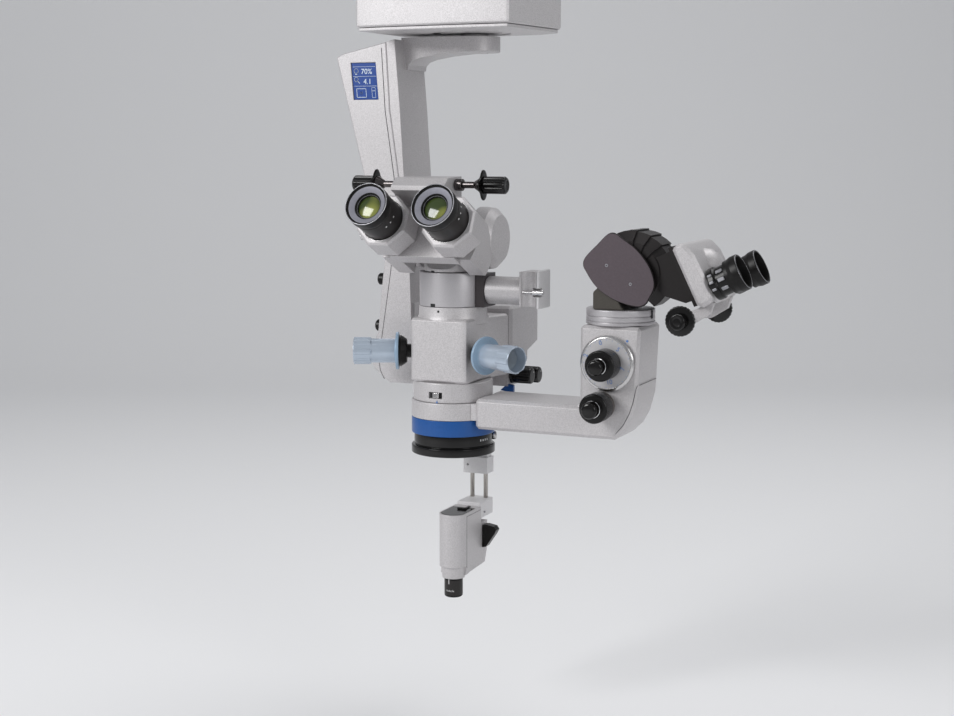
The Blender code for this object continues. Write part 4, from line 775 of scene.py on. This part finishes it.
def rings():
    axis, up = Vector((0, 0, 0)), Vector((0, 0, 1))

    def turned_ring(name, profile, mat, shape=None, steps=160):
        lathe(name + "_turned", profile, axis, up, mat, name, steps, 0.0003, True, shape, whole=True)

    turned_ring("beam_splitter",
                [(0.0240, -0.3414), (0.0330, -0.3414), (0.0336, -0.3420), (0.0336, -0.3750),
                 (0.0332, -0.3756), (0.0240, -0.3756)], SATIN)
    # Dark patches painted as the shade of the drum's notches, which the turned drum does not cut.
    patch("splitter_notch_shade", 0.0336, -106.4, -96.8, -0.3756, -0.3722, DARK, "beam_splitter")
    patch("splitter_top_notch_shade", 0.0330, -105.5, -99.0, -0.3416, -0.3396, DARK, "beam_splitter", 0.0002)
    # The turning frame of an upright piece stands half a turn round from the model's.
    first, last, low, high = math.radians(257.5 - 180), math.radians(278.92 - 180), -0.4659, -0.4595
    even = [2 * math.pi * i / 160 for i in range(160)]
    angles = sorted([a for a in even if min(abs(a - first), abs(a - last)) > 0.004]
                    + [first - 0.0001, first, last, last + 0.0001])

    def recess(a, h, rad):
        across = first - 0.00005 < a < last + 0.00005
        along = low - 0.000005 < h < high + 0.000005
        return 0.0370 / abs(math.sin(a)) if across and along and rad > 0.0385 else rad

    turned_ring("lower_ring",
                [(0.0300, -0.4506), (0.0394, -0.4506), (0.0400, -0.4512), (0.0400, high + 0.00002),
                 (0.0400, high), (0.0400, low), (0.0400, low - 0.00002), (0.0400, -0.4696),
                 (0.0396, -0.4701), (0.0360, -0.4701), (0.0360, -0.5163), (0.0300, -0.5163)], PAINT, recess,
                angles)
    # A dark block on the floor of the catch recess, painted as the recess's shade.
    block("catch_recess_shade", (-0.0080, -0.03715, -0.4657), (0.0056, -0.0366, -0.4597), DARK,
          "lower_ring", 0)
    block("ring_tab", (-0.0414, -0.0092, -0.4650), (-0.0390, 0.0, -0.4546), WHITE, "lower_ring")
    turned_ring("co_ring",
                [(0.0363, -0.4704), (0.0414, -0.4704), (0.0420, -0.4710), (0.0420, -0.4872),
                 (0.0417, -0.4876), (0.0363, -0.4876)], PAINT)
    turned_ring("blue_band",
                [(0.0363, -0.4879), (0.0418, -0.4879), (0.0420, -0.4882), (0.0420, -0.5036),
                 (0.0418, -0.5039), (0.0363, -0.5039)], BLUE)
    turned_ring("objective_ring",
                [(0.0363, -0.5042), (0.0391, -0.5042), (0.0395, -0.5046), (0.0395, -0.5148),
                 (0.0393, -0.5152), (0.0390, -0.5154), (0.0390, -0.5160), (0.0416, -0.5164),
                 (0.0423, -0.5170), (0.0423, -0.5240), (0.0417, -0.5246), (0.0310, -0.5246),
                 (0.0300, -0.5238), (0.0300, -0.5166), (0.0363, -0.5166)], GLOSS)
    out = Vector((math.cos(math.radians(30.6)), math.sin(math.radians(30.6)), 0))
    lathe("ring_lock",
          [(0, 0.0440), (0.0034, 0.0440), (0.0042, 0.0434), (0.0042, 0.0400), (0.0030, 0.0394),
           (0.0030, 0.0375), (0, 0.0375)], (0, 0, -0.5098), out, BRIGHT, "objective_ring", 90, 0.0003,
          False, flutes(24, 0.0002, 0.0396, 0.0432, 0.5, 0.0040))
    for i, a in enumerate((-22, -17, -12, -7)):
        patch("ring_mark_%d" % i, 0.0395, a, a + 1.6, -0.5102, -0.5082, DOT, "objective_ring", 0.00012, 2)
    t, z, r = 0.015, -0.3863, 0.033
    lathe("co_turret_turned",
          [(0, z + t), (r - 0.0006, z + t), (r, z + t - 0.0006), (r, z + 0.60 * t),
           (r - 0.0008, z + 0.58 * t), (r - 0.0008, z + 0.555 * t), (r, z + 0.535 * t), (r, z + 0.27 * t),
           (r - 0.0008, z + 0.25 * t), (r - 0.0008, z + 0.225 * t), (r + 0.0002, z + 0.205 * t),
           (r + 0.0002, z + 0.04 * t), (r - 0.001, z), (0.0118, z), (0.0118, z - 0.0105), (0, z - 0.0105)],
          (BLOCK_X, 0, 0), up, SATIN, "co_turret", 160, 0.0002, whole=True)
    block("turret_stop", (0.2085, -0.0060, -0.3800), (0.2112, -0.0035, -0.3718), SEAM, "co_turret")


def filter_knobs():
    for name, y, z in (("filter_knob_front", 0.0625, -0.4528), ("filter_knob_rear", 0.0825, -0.4543)):
        at = Vector((0.038, y, z))
        lathe(name + "_grip",
              [(0, 0.0230), (0.0066, 0.0230), (0.0079, 0.0225), (0.0085, 0.0214), (0.0085, 0.0040),
               (0.0080, 0.0031), (0.0030, 0.0031), (0.0030, -0.0070), (0, -0.0070)], at, (1, 0, 0), GLOSS,
              name, 160, 0.0003, False, flutes(8, 0.0011, 0.0036, 0.0224, 0.40, 0.0077), whole=True)
        lathe(name + "_disc",
              [(0.0030, 0.0003), (0.0085, 0.0003), (0.0089, 0.0008), (0.0089, 0.0025), (0.0085, 0.0030),
               (0.0030, 0.0030)], at, (1, 0, 0), GLOSS, name, 120, 0.0002, True,
              lambda a, h, rad: rad + 0.0005 * math.cos(6 * a) if rad > 0.006 else rad)
        spot(name + "_dot", at + Vector((0.0230, 0.0030, 0.0035)), (1, 0, 0), 0.0007, DOT, name)


def viewer_details():
    for i, x in enumerate((-0.00765, 0.00765)):
        lathe("viewer_rod_%d" % i,
              [(0, -0.5579), (0.00225, -0.5579), (0.00225, -0.5972), (0.0018, -0.5978), (0, -0.5978)],
              (x, 0.064, 0), (0, 0, 1), ROD, "viewer_block", 40, 0)
    screw("viewer_block_screw", (-0.0086, 0.0539, -0.5498), (0, -1, 0), 0.0011, "viewer_block", BLACK)
    top = -0.5894
    half, back = 0.0127, 0.0260
    turns = [math.radians(a) for a in range(-90, 91, 10)]
    oval = [(half * math.sin(a), -half * math.cos(a)) for a in turns] + [(half, back), (-half, back)]
    slab("viewer_window", oval, top - 0.0070, top + 0.0002, Matrix(), GLOSS, "viewer_body", 0.0002)
    block("viewer_lever", (-0.0030, 0.0150, top + 0.0002), (0.0065, 0.0185, top + 0.0022), BLACK,
          "viewer_body")
    block("viewer_lever_arm", (0.0030, 0.0185, top + 0.0002), (0.0060, 0.0300, top + 0.0014), BLACK,
          "viewer_body")
    side = plane_at((0.01442, 0, 0), (0, 1, 0), (0, 0, 1))
    ribbon("viewer_seam", [[(0.0012, -0.5925), (0.0012, -0.6460)], [(0.0012, -0.5925), (0.0355, -0.5925)]],
           0.00035, side, SEAM, "viewer_body")
    screw("viewer_side_screw", (0.0143, 0.0470, -0.5862 - 0.0110), (1, 0, 0), 0.0011, "viewer_carrier",
          GREY)
    lathe("viewer_lens_grip",
          [(0.0085, -0.6582), (0.0094, -0.6584), (0.0095, -0.6590), (0.0095, -0.6740), (0.0090, -0.6752),
           (0.0085, -0.6752)], (0, 0, 0), (0, 0, 1), BARREL, "viewer_lens", 120, 0.0002, True,
          flutes(60, 0.00015, -0.6735, -0.6680, 0.5, 0.0094))
    block("viewer_lens_pin", (-0.0012, -0.0103, -0.6622), (-0.0002, -0.0093, -0.6560), BRIGHT,
          "viewer_lens", 0.0002)
    for i in range(6):
        a = -112 + 9 * i
        patch("viewer_lens_mark_%d" % i, 0.0095, a, a + 3.0, -0.6702, -0.6690 if i % 2 else -0.6684, DOT,
              "viewer_lens", 0.0001, 2)


def body_fittings():
    block("focus_tab", (-0.0513, 0.0124, -0.3928), (-0.0493, 0.0249, -0.3774), WHITE, "focus_housing")
    tri = [(0.0290, -0.4683), (0.0436, -0.4702), (0.0436, -0.4626), (0.0370, -0.4612)]
    slab("filter_wedge", tri, -0.0025, 0.0015, plane_at((0, 0.0540, 0), (1, 0, 0), (0, 0, 1)), BLUE,
         "filter_block", 0.0002)
    at, d = Vector((-0.0575, -0.0762, -0.3040)), Vector((-1, -0.35, -0.25))
    lathe("tube_lock",
          [(0, 0.0058), (0.0026, 0.0058), (0.0032, 0.0052), (0.0032, 0.0026), (0.0026, 0.0022),
           (0.0016, 0.0020), (0.0016, -0.0050), (0, -0.0050)], at, d, BRIGHT, "tube_left", 60, 0.0003)


# Column.


def display():
    """The display's face: a lamp and a magnifier with their values, a frame and a slider."""
    def at(u, v):
        return (-0.118 + 0.0003 + 0.0281 * u + 0.0031 * v, -0.134 - 0.0374 * v)

    def line(pts):
        return [at(*p) for p in pts]

    face_y = 0.00818
    place = plane_at((0, face_y, 0), (1, 0, 0), (0, 0, 1))
    fine = [line([(0.04, v), (0.96, v)]) for v in (0.11, 0.37, 0.63)]
    bold = []
    cx, cz = at(0.17, 0.225)
    bold.append(circle(cx, cz, 0.0024))
    bold.append([(cx - 0.0010, cz - 0.0033), (cx + 0.0010, cz - 0.0033)])
    cx, cz = at(0.15, 0.45)
    bold.append(circle(cx, cz, 0.0022))
    bold.append([(cx + 0.0016, cz - 0.0016), (cx + 0.0040, cz - 0.0040)])
    bold.append(line([(0.13, 0.70), (0.51, 0.70), (0.51, 0.93), (0.13, 0.93), (0.13, 0.70)]))
    cx, cz = at(0.32, 0.815)
    bold.append(circle(cx, cz, 0.0011))
    fine.append(line([(0.75, 0.67), (0.89, 0.67), (0.89, 0.94), (0.75, 0.94), (0.75, 0.67)]))
    bold.append(line([(0.77, 0.76), (0.87, 0.76)]))
    ribbon("screen_lines", fine, 0.00028, place, GLOW, "screen")
    ribbon("screen_figures", bold, 0.00050, place, GLOW, "screen")
    for name, text, u, v in (("light", "70%", 0.59, 0.245), ("power", "4.1", 0.60, 0.515)):
        px, pz = at(u, v)
        letters("screen_value_" + name, text, 0.0076, plane_at((px, face_y, pz), (1, 0, 0), (0, 0, 1)), GLOW,
                "screen")


def column_details():
    """Joint lines of the column's cover and of the focus housing."""
    front = [(-0.0721, -0.3315), (-0.0739, -0.3464), (-0.0847, -0.4143), (-0.0868, -0.4293),
             (-0.0878, -0.4398), (-0.0867, -0.4481), (-0.0820, -0.4570)]
    ribbon("focus_housing_seam", [front], 0.0005, plane_at((0, 0.00695, 0), (1, 0, 0), (0, 0, 1)), SEAM,
           "focus_housing")
    edge, inset = [(-0.0773, -0.1200), (-0.0735, -0.1830), (-0.0640, -0.2490), (-0.0585, -0.3215)], 0.0052
    ribbon("cover_edge_line", [[(x - inset, z) for x, z in edge]], 0.0006,
           plane_at((0, 0.0069, 0), (1, 0, 0), (0, 0, 1)), SEAM, "column_cover")


def body_details():
    # A dark spot painted as the shade inside the collar's hole.
    spot("collar_hole_shade", (-0.0002, -0.0342, -0.3797), (0, -1, 0), 0.0012, DARK, "main_body")
    slab("catch_pointer", [(-0.0011, 0), (0.0011, 0), (0, 0.0026)], -0.0004, 0.0004,
         plane_at((0.0009, -0.0402, -0.4700), (1, 0, 0), (0, 0, 1)), INK, "lower_ring", 0.0001)
    block("catch_face", (-0.0039, -0.0403, -0.4654), (0.0024, -0.0396, -0.4600), BRIGHT, "catch_slider",
          0.0003)
    for i in range(4):
        x = -0.0026 + 0.0012 * i
        block("catch_groove_%d" % i, (x - 0.00022, -0.0405, -0.4647), (x + 0.00022, -0.0402, -0.4607), SEAM,
              "catch_slider", 0)
    for i, (x, y) in enumerate(((-0.0100, 0.043), (0.0100, 0.043), (-0.0100, 0.063), (0.0100, 0.063))):
        screw("hub_screw_%d" % i, (x, y, -0.1243), (0, 0, -1), 0.0016, "support_arm")


eyepieces()
distance_knobs()
handles()
dial()
block_seams()
folding_tube()
co_eyepieces()
co_distance_knobs()
display()
column_details()
body_details()
rings()
filter_knobs()
viewer_details()
body_fittings()


# The nodes that keep their own shape get a smooth skin; the others are made again above.

for cad_name in NODES:
    if cad_name in SKIN_FINISH:
        skin(cad_name)


# Stage, lamps and camera.

CAMERA_TURN, CAMERA_DIP = math.radians(24.2), math.radians(7.65)
CAMERA_AT, CAMERA_LENS = (0.6778, -1.4496, -0.215), 60.38


def stage():
    """A pale floor that curves up into a wall behind the object."""
    floor_z, front, bend_y, bend, top, half = -0.80, -4.0, 2.2, 1.2, 4.0, 5.0
    bm = bmesh.new()
    profile = [(front, floor_z), (bend_y, floor_z)]
    for i in range(1, 13):
        a = math.radians(90 * i / 12)
        profile.append((bend_y + bend * math.sin(a), floor_z + bend * (1 - math.cos(a))))
    profile.append((bend_y + bend, top))
    rows = [[bm.verts.new((x, y, z)) for x in (-half, half)] for y, z in profile]
    for a, b in zip(rows, rows[1:]):
        bm.faces.new((a[0], a[1], b[1], b[0]))
    mesh = bpy.data.meshes.new("backdrop")
    bm.to_mesh(mesh)
    bm.free()
    mesh.shade_smooth()
    obj = bpy.data.objects.new("backdrop", mesh)
    bpy.context.scene.collection.objects.link(obj)
    mesh.materials.append(principled("backdrop_paper", (0.80, 0.80, 0.81), 0.9)[0])
    obj.matrix_world = Matrix.Rotation(CAMERA_TURN, 4, "Z")


def lamp(name, place, target, size, power):
    data = bpy.data.lights.new(name, "AREA")
    data.size = size
    data.energy = power
    obj = bpy.data.objects.new(name, data)
    bpy.context.scene.collection.objects.link(obj)
    obj.location = place
    obj.rotation_euler = (Vector(target) - Vector(place)).to_track_quat("-Z", "Y").to_euler()
    return obj


def camera():
    data = bpy.data.cameras.new("camera")
    data.sensor_width = 36
    data.lens = CAMERA_LENS
    data.clip_start = 0.05
    obj = bpy.data.objects.new("camera", data)
    bpy.context.scene.collection.objects.link(obj)
    level = math.cos(CAMERA_DIP)
    forward = Vector((-math.sin(CAMERA_TURN) * level, math.cos(CAMERA_TURN) * level, -math.sin(CAMERA_DIP)))
    obj.location = CAMERA_AT
    obj.rotation_euler = forward.to_track_quat("-Z", "Y").to_euler()
    bpy.context.scene.camera = obj


stage()
camera()
world = bpy.data.worlds.new("room")
bpy.context.scene.world = world
world.use_nodes = True
world.node_tree.nodes["Background"].inputs["Color"].default_value = (0.90, 0.92, 0.95, 1)
world.node_tree.nodes["Background"].inputs["Strength"].default_value = 0.36
lamp("key", (-1.3, -2.0, 0.9), (0, 0, -0.35), 1.2, 46)
lamp("fill", (2.0, -0.9, 0.3), (0.05, 0, -0.35), 1.0, 11)
lamp("top", (0.3, 0.9, 1.5), (0, 0.6, -0.6), 1.6, 19)

bpy.context.scene.view_settings.view_transform = "Standard"
